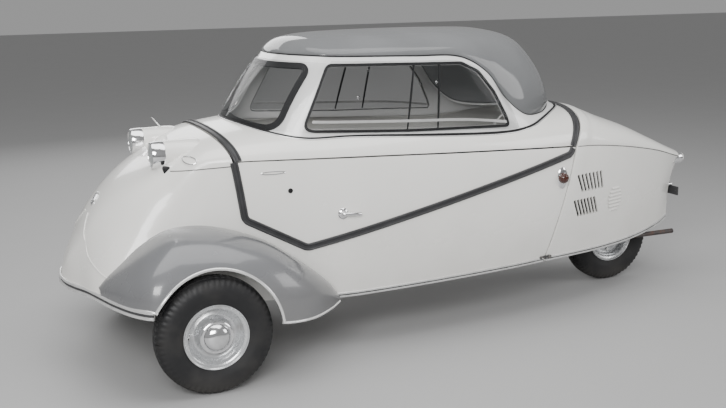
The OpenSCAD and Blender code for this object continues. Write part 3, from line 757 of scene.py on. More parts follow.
def painted_steel(name, colour, roughness=0.42):
    """Black chassis paint with chips and road dust."""
    paint = Finish(name, colour, roughness)
    chips = paint.edges() * paint.band(paint.noise(60.0, 4.0), 0.45, 0.6)
    dust = paint.band(paint.noise(10.0, 5.0), 0.4, 0.75)
    dusty = paint.mix(colour, (0.20, 0.18, 0.16), dust * 0.5)
    paint.put("Base Color", paint.mix(dusty, (0.36, 0.33, 0.30), chips))
    paint.put("Metallic", chips * 0.8)
    paint.put("Roughness", roughness + dust * 0.3)
    return paint.bump(paint.noise(170.0, 3.0) - chips * 0.6, 0.0006, 0.4).material


def wheel_lacquer():
    paint = Finish("wheel lacquer", (0.62, 0.63, 0.64), 0.3, 0.75, Coat_Weight=0.35, Coat_Roughness=0.1)
    grime = paint.band(paint.noise(16.0, 5.0), 0.45, 0.8)
    paint.put("Base Color", paint.mix((0.66, 0.67, 0.68), (0.30, 0.28, 0.26), grime * 0.45))
    paint.put("Roughness", 0.26 + grime * 0.3)
    return paint.bump(paint.noise(350.0, 2.0), 0.0003, 0.3).material


def cast_metal():
    paint = Finish("cast alloy", (0.46, 0.46, 0.45), 0.55, 0.85)
    stain = paint.band(paint.noise(12.0, 5.0), 0.4, 0.75)
    paint.put("Base Color", paint.mix((0.48, 0.48, 0.47), (0.15, 0.13, 0.11), stain * 0.7))
    paint.put("Roughness", 0.45 + 0.3 * stain)
    return paint.bump(paint.noise(220.0, 4.0), 0.0010, 0.6).material


def stained_steel():
    paint = Finish("heat stained steel", (0.12, 0.11, 0.10), 0.5, 0.7)
    heat = paint.band(paint.noise(6.0, 4.0), 0.35, 0.65)
    rust = paint.band(paint.noise(45.0, 6.0), 0.5, 0.62)
    blued = paint.mix((0.13, 0.12, 0.11), (0.07, 0.06, 0.06), heat)
    paint.put("Base Color", paint.mix(blued, (0.12, 0.05, 0.025), rust * 0.5))
    paint.put("Metallic", 0.75 - rust * 0.6)
    paint.put("Roughness", 0.4 + rust * 0.4)
    return paint.bump(rust * 0.6 + paint.noise(180.0, 3.0), 0.0007, 0.5).material


def pane(name, colour, clear, smoky, roughness=0.03):
    """Clear or smoked sheet: thin when seen square on, mirror-like at a glancing angle."""
    paint = Finish(name, colour, roughness, Specular_IOR_Level=0.5, IOR=1.5)
    facing = paint.node("ShaderNodeLayerWeight", None, {"Blend": 0.35}, output="Facing")
    film = paint.band(paint.noise(3.0, 5.0), 0.4, 0.8)
    paint.put("Alpha", clear + facing * (smoky - clear) + film * 0.04)
    paint.put("Roughness", roughness + film * 0.05)
    paint.put("Base Color", paint.mix(colour, tuple(min(1, 1.15 * c) for c in colour), film))
    paint.material.surface_render_method = "DITHERED"
    return paint.material


def lamp_glass(name, colour, alpha, ribs=95.0):
    """Ribbed lamp lens."""
    paint = Finish(name, colour, 0.08, Coat_Weight=0.5, IOR=1.5)
    wave = paint.node("ShaderNodeTexWave", {"wave_type": "BANDS", "bands_direction": "Y"},
                      {"Vector": paint.place, "Scale": ribs})
    facing = paint.node("ShaderNodeLayerWeight", None, {"Blend": 0.4}, output="Facing")
    paint.put("Alpha", alpha + facing * (0.95 - alpha))
    paint.put("Base Color", paint.mix(colour, tuple(0.8 * c for c in colour), wave))
    return paint.bump(wave, 0.0012, 0.6).material


IVORY = enamel("ivory enamel", (0.86, 0.85, 0.815), 0.6)
GREY = enamel("grey enamel", (0.15, 0.153, 0.16), 0.4)
WHITE = enamel("white enamel", (0.87, 0.87, 0.86), 0.2)
CHROME = chromium("chrome plate", (0.86, 0.86, 0.87))
BRIGHT = chromium("bright trim", (0.86, 0.86, 0.85), 0.16, 0.6)
MOULDING = moulded("moulding rubber", (0.040, 0.040, 0.042), 0.42)
GASKET = moulded("gasket rubber", (0.008, 0.008, 0.009), 0.55)
TYRE = tyre_rubber()
TRIM = vinyl("cabin vinyl", (0.022, 0.021, 0.020))
CLOTH = tweed("seat cloth", (0.05, 0.045, 0.042), (0.22, 0.20, 0.18))
PIPING = vinyl("seat piping", (0.16, 0.15, 0.14), False)
STEEL = painted_steel("black chassis paint", (0.035, 0.035, 0.037))
SEAL = painted_steel("underseal", (0.05, 0.048, 0.046), 0.75)
GRIP = moulded("grip rubber", (0.03, 0.03, 0.03), 0.5, 300.0, 0.0008)
LACQUER = wheel_lacquer()
ALLOY = cast_metal()
HOT_STEEL = stained_steel()
GLASS = pane("window glass", (0.04, 0.045, 0.045), 0.03, 0.42)
SMOKED = pane("smoked dome", (0.21, 0.215, 0.22), 0.62, 0.96, 0.05)
AMBER = lamp_glass("dark red lens", (0.06, 0.012, 0.005), 0.9)
CLEAR_LENS = lamp_glass("headlamp lens", (0.60, 0.62, 0.62), 0.25, 70.0)
PALE_LENS = lamp_glass("white lens", (0.75, 0.75, 0.73), 0.8)
DIAL = moulded("dial face", (0.72, 0.71, 0.66), 0.4, 500.0, 0.0001)
# Near-black colour for painted shade: the sheet behind the louvre slots.
SHADE_BLACK = moulded("painted shade black", (0.012, 0.012, 0.012), 0.7)

# The CAD parts that are seen as they are get these finishes.
for names, material in (
        (("floor_pan",), SEAL), (("rear_bulkhead",), TRIM), (("steering_column",), STEEL),
        (("front_axle", "left_knuckle", "right_knuckle", "swing_arm"), STEEL), (("plate_lamp",), MOULDING),
        (("track_rod",), BRIGHT), (("engine_block",), ALLOY), (("exhaust",), HOT_STEEL)):
    for name in names:
        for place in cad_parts[name].material_slots:
            place.material = material

# ---- Helpers for this car ------------------------------------------------------------------
def steps(a, b, n):
    """n equal steps from a to b."""
    return np.linspace(a, b, n + 1)


def sided(face, sign):
    """A left side's face, or its mirror image on the right."""
    return face if sign > 0 else mirrored(face)


def left_only(sign, node):
    """A node that stands for both sides is replaced by the left piece alone."""
    return (node,) if sign > 0 else ()


def on_side(face, sign, line, s_guess, w_guess):
    """The points of a side face at (x, z), in millimetres, and the directions out of it."""
    s, w = locate(face, [0, 2], line * MM, [s_guess + 0 * line[:, 0], w_guess + 0 * line[:, 0]])
    return face(s, w), sign * normals(face, s, w)


def side_spot(sign, x, z, s_guess, w_guess):
    """One point of the body's side, in millimetres."""
    return on_side(sided(skin, sign), sign, np.array([[x, z]]), s_guess, w_guess)[0][0] / MM


def stand(piece, spot, way, stretch=(1, 1, 1)):
    """Puts a shape that was turned on Y at a spot, with its axis along a direction."""
    turn = Vector((0, 1, 0)).rotation_difference(Vector(way)).to_matrix().to_4x4()
    piece.data.transform(Matrix.Translation(Vector(spot)) @ turn @ Matrix.Diagonal((*stretch, 1)))


def floor_skin(s, v, lift=0.0):
    """The flat bottom between the lower edges, from the left one (v = 0) to the right one (1)."""
    return blend(skin(s, 0 * v), skin(s, 0 * v + 4), v[..., None]) + np.array([0, 0, lift * MM])


# ---- Body panels ---------------------------------------------------------------------------
def body_panels():
    nose = panel("nose_panel", nose_skin, steps(NOSE_SEAM, LAST, 96), steps(0, 4, 120), 6, (1.0, 0, 0.45), 0)
    finish(nose, IVORY, "ivory_paint", "body", "nose_shell")
    under = panel("nose_underside", floor_skin, steps(14.3, LAST, 30), steps(0, 1, 12), 4, (1.2, 0, 0.5))
    finish(under, IVORY, "ivory_paint", "body")
    tip = skin(LAST, steps(0, 4, 40))
    cap = grid("nose_tip", np.stack([tip, blend(tip, tip.mean(0), 0.97)]))
    face_from(cap, (1.3, 0, 0.35))
    finish(soften(cap), IVORY, "ivory_paint", "body")

    for side, sign in BOTH_SIDES:
        piece = panel(f"{side}_side_panel", sided(skin, sign), steps(TAIL_SEAM + SLIT, NOSE_SEAM, 110),
                      steps(0.0, 0.996, 40), 10, (0, 0, 0.5), 0)
        finish(piece, IVORY, "ivory_paint", "body", f"{side}_body_side")

    rail = panel("canopy_skirt_panel", skin, steps(TAIL_SEAM + 2 * HALF_GAP, NOSE_SEAM - 2 * HALF_GAP, 110),
                 steps(1.014, 2.986, 100), 10, (0, 0, 0.4), 0)
    foot = round_table([0, 1, 2], np.linspace(-REAR, REAR, 161)[:-1])[:, :2]
    grown = foot + CABIN_HOLE_ROOM * foot / np.linalg.norm(foot, axis=1, keepdims=True)
    cut(rail, prism("cabin_hole", grown, "Z", 600, 1100))
    finish(rail, IVORY, "ivory_paint", "canopy", "canopy_skirt")

    tail = panel("tail_panel", skin, steps(0, TAIL_SEAM - 2 * HALF_GAP, 90), steps(0, 4, 110), 8,
                 (-0.9, 0, 0.45))
    tail_end()
    cut_louvres(tail)
    finish(tail, IVORY, "ivory_paint", "tail_cover", "tail_shell")
    for side, sign in BOTH_SIDES:
        tail_vents(side, sign)


def tail_end():
    """The slightly crowned plate that closes the tail."""
    end = skin(0, steps(0, 4, 60))
    floor_line = blend(end[0], end[-1], steps(0, 1, 8)[:, None])
    ring = np.concatenate([end, floor_line[::-1][1:]])
    crown = [blend(ring, ring.mean(0), t) + np.array([-4 * MM * math.sin(math.pi / 2 * t), 0, 0])
             for t in (0, 0.1, 0.25, 0.5, 0.75, 0.98)]
    back = grid("tail_end", np.array(crown))
    face_from(back, (-1.3, 0, 0.42))
    modify(back, "SOLIDIFY", thickness=4 * MM, offset=-1)
    finish(soften(back), IVORY, "ivory_paint", "tail_cover")


def cut_louvres(tail):
    cutters = []
    for sign in (1, -1):
        for (x0, z0), (x1, z1) in LOUVRES:
            half = math.hypot(x1 - x0, z1 - z0) / 2
            slot = block("louvre_cut", (-LOUVRE_HALF, -60, -half), (LOUVRE_HALF, 60, half), 4.4)
            middle = Vector(((x0 + x1) / 2, sign * 310, (z0 + z1) / 2)) * MM
            slot.data.transform(Matrix.Translation(middle)
                                @ Matrix.Rotation(math.atan2(x0 - x1, z0 - z1), 4, "Y"))
            cutters.append(slot)
    cut(tail, join(*cutters))


def tail_vents(side, sign):
    """The pressed ribs of the round vent, the louvres' lips, and a near-black sheet behind the louvres that
    is painted shade making the slots look dark.
    """
    face = sided(skin, sign)
    middle, top, pitch, reach = VENT
    ribs = []
    for i in range(7):
        half = reach * math.sqrt(max(0.15, 1 - ((i - 3) / 3.6) ** 2))
        x = np.linspace(middle - half, middle + half, 14)
        path, out = on_side(face, sign, np.stack([x, 0 * x + (top - pitch * i)], -1), 3.8, 0.5)
        ribs.append(sweep(f"{side}_vent_rib", path, out, disc(5.2, 10, squash=0.85)))
    finish(join(*ribs), IVORY, "ivory_paint", "tail_cover").name = f"{side}_vent_ribs"
    lips = []
    for top, foot in LOUVRES:
        line = blend(np.array(top), np.array(foot), np.linspace(0.04, 0.96, 9)[:, None]) - (9, 0)
        lips.append(sweep(f"{side}_louvre_lip", *on_side(face, sign, line, 5, 0.6), disc(2.8, 8, squash=0.8)))
    finish(join(*lips), IVORY, "ivory_paint", "tail_cover").name = f"{side}_louvre_lips"
    # Painted shade: a near-black sheet 22 mm inside the skin makes the louvre slots look dark.
    shade_sheet = panel(f"{side}_louvre_shade_sheet", raised(face, -22, sign), steps(3.6, 5.9, 14),
                  steps(0.25, 0.9, 10), 2, (-0.8, 0, 0.45), 0)
    finish(shade_sheet, SHADE_BLACK, "underbody", "tail_cover")


def arch_points(angles):
    """The wheel cut-out's circle, x and z."""
    return np.stack([FRONT_AXLE + ARCH * np.cos(angles), WHEEL_R + ARCH * np.sin(angles)], -1)


def wings():
    for side, sign in BOTH_SIDES:
        face = sided(wing_skin, sign)
        out = -sign     # the wing's steps run the other way round from the body's
        outside = raised(face, WING_WALL - 1, out)
        piece = panel(f"{side}_wing", outside, np.linspace(0, len(WING) - 1, 121), np.linspace(0, 1, 61), 4,
                      (0.95, sign * 0.3, 0.2), 0)
        arch = arch_points(np.linspace(0, 2 * math.pi, 129)[:-1])
        low, high = sorted((sign * 400, sign * 700))
        cut(piece, prism("arch_cut", arch, "Y", low, high))
        finish(piece, GREY, "grey_paint", "body", f"{side}_front_wing")

        angles = np.radians(np.linspace(-2, 182, 90))
        s, u = locate(outside, [0, 2], arch_points(angles) * MM,
                      [5 + 3 * np.cos(angles), 0.9 - 0.25 * np.sin(angles)])
        keep = (u < 1.01) & (s > 0.5) & (s < 9.5)
        s, u = s[keep], np.minimum(u[keep], 1)
        lip = sweep(f"{side}_arch_lip", outside(s, u), out * normals(outside, s, u), disc(5.5, 12))
        finish(lip, BRIGHT, "bright_trim", "body")
        for part, rows in (("rear", np.linspace(0.05, s.min() + 0.05, 50)),
                           ("front", np.linspace(s.max() - 0.05, 9.9, 40))):
            edge = sweep(f"{side}_wing_{part}_bead", outside(rows, 0 * rows + 1),
                         out * normals(outside, rows, 0 * rows + 1), disc(5, 12, y=-1))
            finish(edge, BRIGHT, "bright_trim", "body")

        rows = np.linspace(0.2, 9.8, 120)
        s, w = locate(sided(skin, sign), [0, 2], face(rows, 0.0)[:, [0, 2]],
                      [14.0 + 0 * rows, 0.4 + 0 * rows])
        out_way = np.tile([0.0, sign * 0.6, 0.8], (len(rows), 1))
        piping = sweep(f"{side}_wing_piping", sided(skin, sign)(s, w), out_way, disc(3.2, 8))
        finish(piping, GASKET, "dark_moulding", "body")


def nose_trim():
    """The double bead round the foot of the nose, with a dark strip between."""
    half = smooth(NOSE_ARC, np.linspace(0, len(NOSE_ARC) - 1, 80))
    path = np.concatenate([half, half[-2::-1] * np.array([1, -1, 1])]) * MM
    out = np.cross(np.gradient(path, axis=0), [0, 0, 1.0])
    out /= np.linalg.norm(out, axis=1, keepdims=True)
    out *= np.sign((out * (path - np.array([0.9, 0, 0.318]))).sum(1, keepdims=True))
    upper = sweep("nose_bead_upper", path, out, disc(6, 12, x=10))
    lower = sweep("nose_bead_lower", path, out, disc(6, 12, x=-10))
    strip = sweep("nose_strip", path, out, strip_profile(3.5, -4, 2))
    backing = sweep("nose_strip_backing", path, out, strip_profile(11, -6, 0))
    finish(backing, IVORY, "ivory_paint", "body")
    finish(join(upper, lower), BRIGHT, "bright_trim", "body", "nose_trim").name = "nose_beads"
    finish(strip, MOULDING, "dark_moulding", "body")


def mouldings():
    nose_trim()
    for side, sign in BOTH_SIDES:
        face = sided(skin, sign)
        line = rounded(BAND, 36, closed=False, steps=7, reach=9)
        path, out = on_side(face, sign, line, np.interp(line[:, 0], (-640, 830), (6.1, 12.1)),
                            np.interp(line[:, 1], (222, 750), (0.05, 0.9)))
        finish(sweep(f"{side}_side_moulding", path, out, BAND_PROFILE), MOULDING, "dark_moulding", "body",
               *left_only(sign, "side_mouldings"))
        for body, part, rows in (("body", "sill", np.linspace(TAIL_SEAM + 0.02, 10.45, 120)),
                                 ("tail_cover", "tail", np.linspace(0.02, TAIL_SEAM - 0.05, 90))):
            edge, way = face(rows, 0 * rows + 0.012), sign * normals(face, rows, 0 * rows + 0.02)
            beads = [sweep(f"{side}_{part}_bead", edge, way, disc(4.4, 8, x=x)) for x in (-6, 6)]
            groove = sweep(f"{side}_{part}_groove", edge, way, strip_profile(3, -3, 1))
            finish(groove, GASKET, "dark_moulding", body)
            finish(join(*beads), BRIGHT, "bright_trim", body).name = f"{side}_{part}_beads"
        rows = np.linspace(0.05, TAIL_SEAM - 0.08, 90)
        seam = sweep(f"{side}_tail_seam", face(rows, 0 * rows + 1), np.tile([0, sign * 0.8, 0.6], (90, 1)),
                     disc(SEAM_R, 6))
        finish(seam, GASKET, "dark_moulding", "tail_cover")
        line = smooth(COWL_SEAM, np.linspace(0, 3, 40))
        path, out = on_side(sided(nose_skin, sign), sign, line, np.linspace(12.1, 13.6, 40), 1)
        crease = sweep(f"{side}_cowl_seam", path, out, disc(SEAM_R, 6))
        finish(crease, GASKET, "dark_moulding", "body")
        t = np.linspace(0, 1, 40)
        width = np.interp(t, (0, 0.5, 1), NOSE_BEAD_Y)
        height = smooth(np.array(NOSE_BEAD_Z)[:, None], np.linspace(0, 4, 40))[:, 0]
        s, w = locate(face, [1, 2], np.stack([sign * width, height * MM], -1),
                      [17.8 - 0.6 * t, 1.5 - 0.9 * t])
        shown = np.isfinite(s) & (s < LAST) & (s > NOSE_SEAM)
        s, w = s[shown], w[shown]
        shield = sweep(f"{side}_nose_bead", face(s, w), sign * normals(face, s, w), disc(3, 8, squash=0.7))
        finish(shield, IVORY, "ivory_paint", "body")

    for part, s, nodes in (("front", NOSE_SEAM - 0.12, ("canopy_moulding",)),
                           ("rear", TAIL_SEAM + 0.115, ())):
        w = np.linspace(1.013, 2.987, 140)
        rows = 0 * w + s
        strip = sweep(f"canopy_{part}_moulding", skin(rows, w), normals(skin, rows, w), BAND_PROFILE)
        finish(strip, MOULDING, "dark_moulding", "canopy", *nodes)


# ---- Canopy --------------------------------------------------------------------------------
def on_glass(axes, outline, guess, height=0.0):
    s, h = locate(glass_wall, axes, outline * MM, guess)
    return glass_wall(s, h) + height * MM * normals(glass_wall, s, h), normals(glass_wall, s, h)


def window_step(x):
    """Step round the glasshouse of a place x millimetres along the left side window."""
    return 5 - (x - 140) / 240


def window_frame():
    """The glasshouse's white wall with its openings, and the seals and beads round them."""
    ring = panel("window_frame", glass_wall, np.linspace(-REAR, REAR, 241), np.linspace(-0.06, 1, 18), 12,
                 (0, 0, 0.95), 1)
    screen = rounded(WINDSCREEN, 40, steps=10, reach=12)
    window = rounded(SIDE_WINDOW, 30, steps=8, reach=12)
    cut(ring, prism("windscreen_cut", screen, "X", 0, 900), prism("window_cut", window, "Y", -800, 800))
    finish(ring, WHITE, "white_paint", "canopy", "canopy_frame")

    edge, out = on_glass([1, 2], screen, [screen[:, 0] / 300 * 2.35, (screen[:, 1] - 860) / 255])
    seal = sweep("windscreen_seal", edge, out, SCREEN_SEAL, True)
    finish(seal, GASKET, "dark_moulding", "canopy")
    insert = sweep("windscreen_bead", edge, out, disc(3, 8, y=4), True)
    finish(insert, BRIGHT, "bright_trim", "canopy")
    for side, sign in BOTH_SIDES:
        face_t = np.interp(window[:, 0], (-312, 556), (7.4, 2.9)) * sign
        edge, out = on_glass([0, 2], window, [face_t, (window[:, 1] - 815) / 290])
        seal = sweep(f"{side}_window_seal", edge, out, WINDOW_SEAL, True)
        finish(seal, GASKET, "dark_moulding", "canopy")
        bead = sweep(f"{side}_window_bead", edge, out, disc(2.4, 8, x=-6 * sign, y=1.5), True)
        finish(bead, BRIGHT, "bright_trim", "canopy")


def panes():
    """Windscreen, side windows and dome."""
    inside = raised(glass_wall, PANE_DEPTH)
    front = panel("windscreen_glass", inside, np.linspace(-2.7, 2.7, 60), np.linspace(0.03, 0.9, 20), 4,
                  (0, 0, 0.95), 0)
    finish(front, GLASS, "clear_glass", "canopy", "windscreen")
    for side, sign in BOTH_SIDES:
        glass = panel(f"{side}_window_glass", inside, sign * np.linspace(2.85, 7.75, 70),
                      np.linspace(0.02, 0.93, 20), 4, (0, 0, 0.95), 0)
        finish(glass, GLASS, "clear_glass", "canopy", *left_only(sign, "side_windows"))
    dome = panel("dome_shell", dome_skin, np.linspace(0.12, REAR - 0.1, 130), np.linspace(0.0, 2.0, 100), 4,
                 (-0.1, 0, 0.9), 0)
    finish(dome, SMOKED, "smoked_dome", "canopy", "dome")


def canopy_seals():
    """The cord under the dome, and the seal and bead that follow the skirt round the canopy's foot."""
    t = np.linspace(-REAR, REAR, 300)[:-1]
    lip = sweep("dome_seal", glass_wall(t, 0 * t + 1), np.tile([0, 0, 1.0], (len(t), 1)), disc(3, 8), True)
    finish(lip, GASKET, "dark_moulding", "canopy")

    t = np.linspace(0, REAR, 150)
    foot = glass_wall(t, 0 * t)
    away = foot * (1, 1, 0) / np.linalg.norm(foot[:, :2], axis=1, keepdims=True)
    guess = [np.interp(foot[:, 0], (-0.75, 0.83), (6.1, 12)), np.where(foot[:, 1] > 0.05, 1.6, 1.95)]
    for name, out, radius, material, slot in (("seal", 4, 5.2, GASKET, "dark_moulding"),
                                              ("bead", 11, 2.8, BRIGHT, "bright_trim")):
        line = foot + out * MM * away
        s, w = locate(skin, [0, 1], line[:, :2], guess)
        line[:, 2] = skin(s, w)[:, 2] + 0.8 * MM
        line = np.concatenate([line, line[-2:0:-1] * (1, -1, 1)])
        upward = np.tile([0, 0, 1.0], (len(line), 1))
        strip = sweep(f"canopy_foot_{name}", line, upward, disc(radius, 10), True)
        finish(strip, material, slot, "canopy")


def pane_fittings(side, sign):
    """The edges of the sliding panes, their lower channel and their knobs."""
    for x in (147, 20):
        h = np.linspace(0.05, 0.9, 24)
        s = sign * window_step(x) + 0 * h
        way = normals(glass_wall, s, h)
        edge = sweep(f"{side}_pane_edge_{x}", glass_wall(s, h) - 4 * MM * way, way, disc(3.2, 8, squash=0.8))
        finish(edge, GASKET, "dark_moulding", "canopy")
    s = sign * np.linspace(3.1, 7.3, 60)
    h = 0.16 + 0 * s
    way = normals(glass_wall, s, h)
    channel = sweep(f"{side}_pane_channel", glass_wall(s, h) - 5 * MM * way, way, strip_profile(5, -2, 2))
    finish(channel, BRIGHT, "bright_trim", "canopy")
    for x, z in PANE_KNOBS:
        where, way = on_glass([0, 2], np.array([[x, z]], float), [[sign * window_step(x)], [0.5]], -2)
        knob = turned(f"{side}_pane_knob_{abs(x)}", PANE_KNOB, sides=24)
        stand(knob, where[0], way[0])
        finish(knob, CHROME, "chrome", "canopy")


def wiper():
    h = np.linspace(0.10, 0.75, 24)
    s = WIPER_STEP + 0 * h
    arm_path = glass_wall(s, h) + np.array([12, -4, 9]) * MM
    arm = sweep("wiper_arm", arm_path, normals(glass_wall, s, h), WIPER_ARM)
    h = np.linspace(0.38, 0.9, 24)
    s = np.linspace(-1.15, -2.0, 24)
    way = normals(glass_wall, s, h)
    blade = sweep("wiper_blade", glass_wall(s, h) + 9 * MM * way, way, BLADE)
    hub = turned("wiper_hub", WIPER_HUB, sides=32)
    stand(hub, glass_wall(WIPER_STEP, 0.03), normals(glass_wall, WIPER_STEP, 0.06))
    finish(join(arm, hub), CHROME, "chrome", "canopy", "wiper").name = "wiper_arm"
    finish(blade, GASKET, "dark_moulding", "canopy")


def canopy():
    window_frame()
    panes()
    canopy_seals()
    for side, sign in BOTH_SIDES:
        pane_fittings(side, sign)
    wiper()


# ---- Lamps, handle and badges --------------------------------------------------------------
def headlamp(side, sign):
    """A headlamp in its pod on the nose, with the dark block and bright foot under it."""
    x, y, z = LAMP
    centre = (x - 20, sign * y, z)
    turn = np.linspace(0, 2 * math.pi, 65)
    rings = smooth(POD, np.linspace(0, len(POD) - 1, 40))
    rings = np.concatenate([[(*POD[0][:3], 0.1, 0.1)], rings, [(*POD[-1][:3], 0.1, 0.1)]])
    loops = [np.stack([0 * turn + px, sign * py + ry * np.cos(turn), pz + rz * np.sin(turn)], -1)
             for px, py, pz, ry, rz in rings]
    pod = grid(f"{side}_lamp_pod", np.array(loops) * MM)
    weld(pod)
    settle(pod)
    finish(soften(pod), IVORY, "ivory_paint", "body")
    for part, profile, sides, material, slot, nodes in (
            ("ring", LAMP_RING, 72, CHROME, "chrome", (f"{side}_headlamp",)),
            ("bowl", LAMP_BOWL, 48, CHROME, "chrome", ()),
            ("bulb", LAMP_BULB, 24, PALE_LENS, "lamp_plastic", ()),
            ("lens", LAMP_LENS, 64, CLEAR_LENS, "clear_glass", ())):
        piece = turned(f"{side}_lamp_{part}", profile, centre, "X", sides)
        finish(piece, material, slot, "body", *nodes)
    low, high = sorted((sign * (y + 42), sign * (y + 75)))
    foot = block(f"{side}_lamp_block", (x - 26, low, z - 80), (x - 2, high, z - 34), 5)
    finish(foot, GASKET, "dark_moulding", "body")
    tip = block(f"{side}_lamp_block_foot", (x - 28, low - 1, z - 90), (x - 1, high + 1, z - 78), 5)
    finish(tip, CHROME, "chrome", "body")


def small_lamps(side, sign):
    """The oval side lamp and the tail lamp."""
    spot = side_spot(sign, *SIDE_LAMP, 6.5, 0.8)
    base = turned(f"{side}_side_lamp_base", SIDE_LAMP_BASE, spot, "Y", 48, sign)
    base.data.transform(Matrix.Translation(Vector(spot) * MM) @ Matrix.Diagonal((0.78, 1, 1.45, 1))
                        @ Matrix.Translation(-Vector(spot) * MM))
    lens = turned(f"{side}_side_lamp_lens", SIDE_LAMP_LENS, spot, "Y", 48, sign)
    finish(base, CHROME, "chrome", "body", *left_only(sign, "side_lamps"))
    finish(lens, AMBER, "lamp_plastic", "body")

    x, y, z = TAIL_LAMP
    spot = (x, sign * y, z)
    shell = turned(f"{side}_tail_lamp_shell", TAIL_LAMP_SHELL, spot, "X", 48, -1)
    lens = turned(f"{side}_tail_lamp_lens", TAIL_LAMP_LENS, spot, "X", 48, -1)
    finish(shell, CHROME, "chrome", "tail_cover", *left_only(sign, "tail_lamps"))
    finish(lens, PALE_LENS, "lamp_plastic", "tail_cover")


def badges():
    """Plain oval beads on the cowl and the sides, and a disc on the nose."""
    for name, (bx, bz), (s_guess, w_guess), (long, tall) in (
            ("cowl_badge", (966, 772), (13.2, 0.98), (20, 11)),
            ("side_badge", (688, 718), (11.2, 0.93), (44, 5))):
        a = np.linspace(0, 2 * math.pi, 33)[:-1]
        outline = np.stack([bx + long * np.cos(a), bz + tall * np.sin(a)], -1)
        for side, sign in BOTH_SIDES:
            bead = sweep(f"{side}_{name}", *on_side(sided(skin, sign), sign, outline, s_guess, w_guess),
                         disc(2.0, 8, y=1), True)
            finish(bead, CHROME, "chrome", "body")
    emblem = turned("nose_emblem", EMBLEM, sides=48)
    stand(emblem, skin(*EMBLEM_AT), normals(skin, *EMBLEM_AT), (0.7, 1, 1.5))
    finish(emblem, CHROME, "chrome", "body")


def lamps_and_fittings():
    for side, sign in BOTH_SIDES:
        headlamp(side, sign)
        small_lamps(side, sign)

    spot = side_spot(1, *HANDLE, 10.0, 0.7)
    rose = turned("handle_rose", HANDLE_ROSE, spot, "Y", 40, 1)
    lever = tube("handle_lever", [spot + bend for bend in HANDLE_LEVER], 6.5, 16)
    finish(join(rose, lever), CHROME, "chrome", "body", "door_handle").name = "door_handle_lever"
    badges()

    for side, sign in BOTH_SIDES:
        x0, y0, z0 = skin(TAIL_SEAM, 0.02) * (1, sign, 1) / MM
        plate = block(f"{side}_hinge_plate", (x0 - 34, y0 - 6, z0 + 2), (x0 + 34, y0 + 6, z0 + 12), 3)
        bolts = [turned(f"{side}_hinge_bolt", CLAMP_BOLT, (x0 + dx, y0, z0 + 7), "Y", 20, sign)
                 for dx in (-20, 0, 20)]
        finish(join(plate, *bolts), STEEL, "black_steel", "body").name = f"{side}_sill_clamp"

    finish(tube("cowl_rod", COWL_ROD, 4), CHROME, "chrome", "body")
    button = turned("side_button", BUTTON, side_spot(1, *BUTTON_AT, 10.9, 0.8), "Y", 28, 1)
    finish(button, GASKET, "dark_moulding", "body")
    hood = block("plate_lamp_hood", (-1409, -42, 414), (-1374, 42, 430), 6)
    finish(hood, CHROME, "chrome", "tail_cover")


# ---- Wheels --------------------------------------------------------------------------------
def tread(profile, blocks=60):
    """A tyre's turned skin: zigzag ribs round the crown, notched shoulders and raised wall rings."""
    half = np.array(profile)
    full = np.concatenate([half, half[-2::-1] * (1, -1)])
    turn = np.linspace(0, 2 * math.pi, blocks * 6 + 1)
    radius, across = full[:, 0][None, :] + 0 * turn[:, None], full[:, 1][None, :] + 0 * turn[:, None]
    zig = np.abs(((turn * blocks / 2 / math.pi) % 1) * 2 - 1)[:, None] * 2 - 1
    crown = np.clip((radius - 197) / 3, 0, 1) * np.clip((27 - np.abs(across)) / 3, 0, 1)
    across = across + zig * 1.7 * crown
    notch = ((turn * blocks / 2 / math.pi) % 1)[:, None] < 0.34
    shoulder = ((radius > 187) & (np.abs(across) > 29)).astype(float)
    radius = radius - 3.2 * shoulder * notch
    fine = ((turn * blocks * 2 / 2 / math.pi) % 1)[:, None] < 0.17
    radius = radius - 1.6 * fine * ((radius > 203) & (np.abs(across) < 27))
    rings = np.exp(-((radius - 172) / 1.6) ** 2) + np.exp(-((radius - 128) / 1.6) ** 2)
    across = across + np.sign(across) * 0.9 * rings * (np.abs(across) > 40)
    return np.stack([radius * np.cos(turn)[:, None], across, radius * np.sin(turn)[:, None]], -1) * MM


def ring_of(name, profile, centre, count, radius, first, sides, sign):
    """Turned shapes evenly round a wheel, at a radius from its centre."""
    pieces = []
    for i in range(count):
        a = math.radians(first + 360 / count * i)
        spot = centre + (radius * math.cos(a), 0, radius * math.sin(a))
        pieces.append(turned(name, profile, spot, "Y", sides, sign))
    return pieces


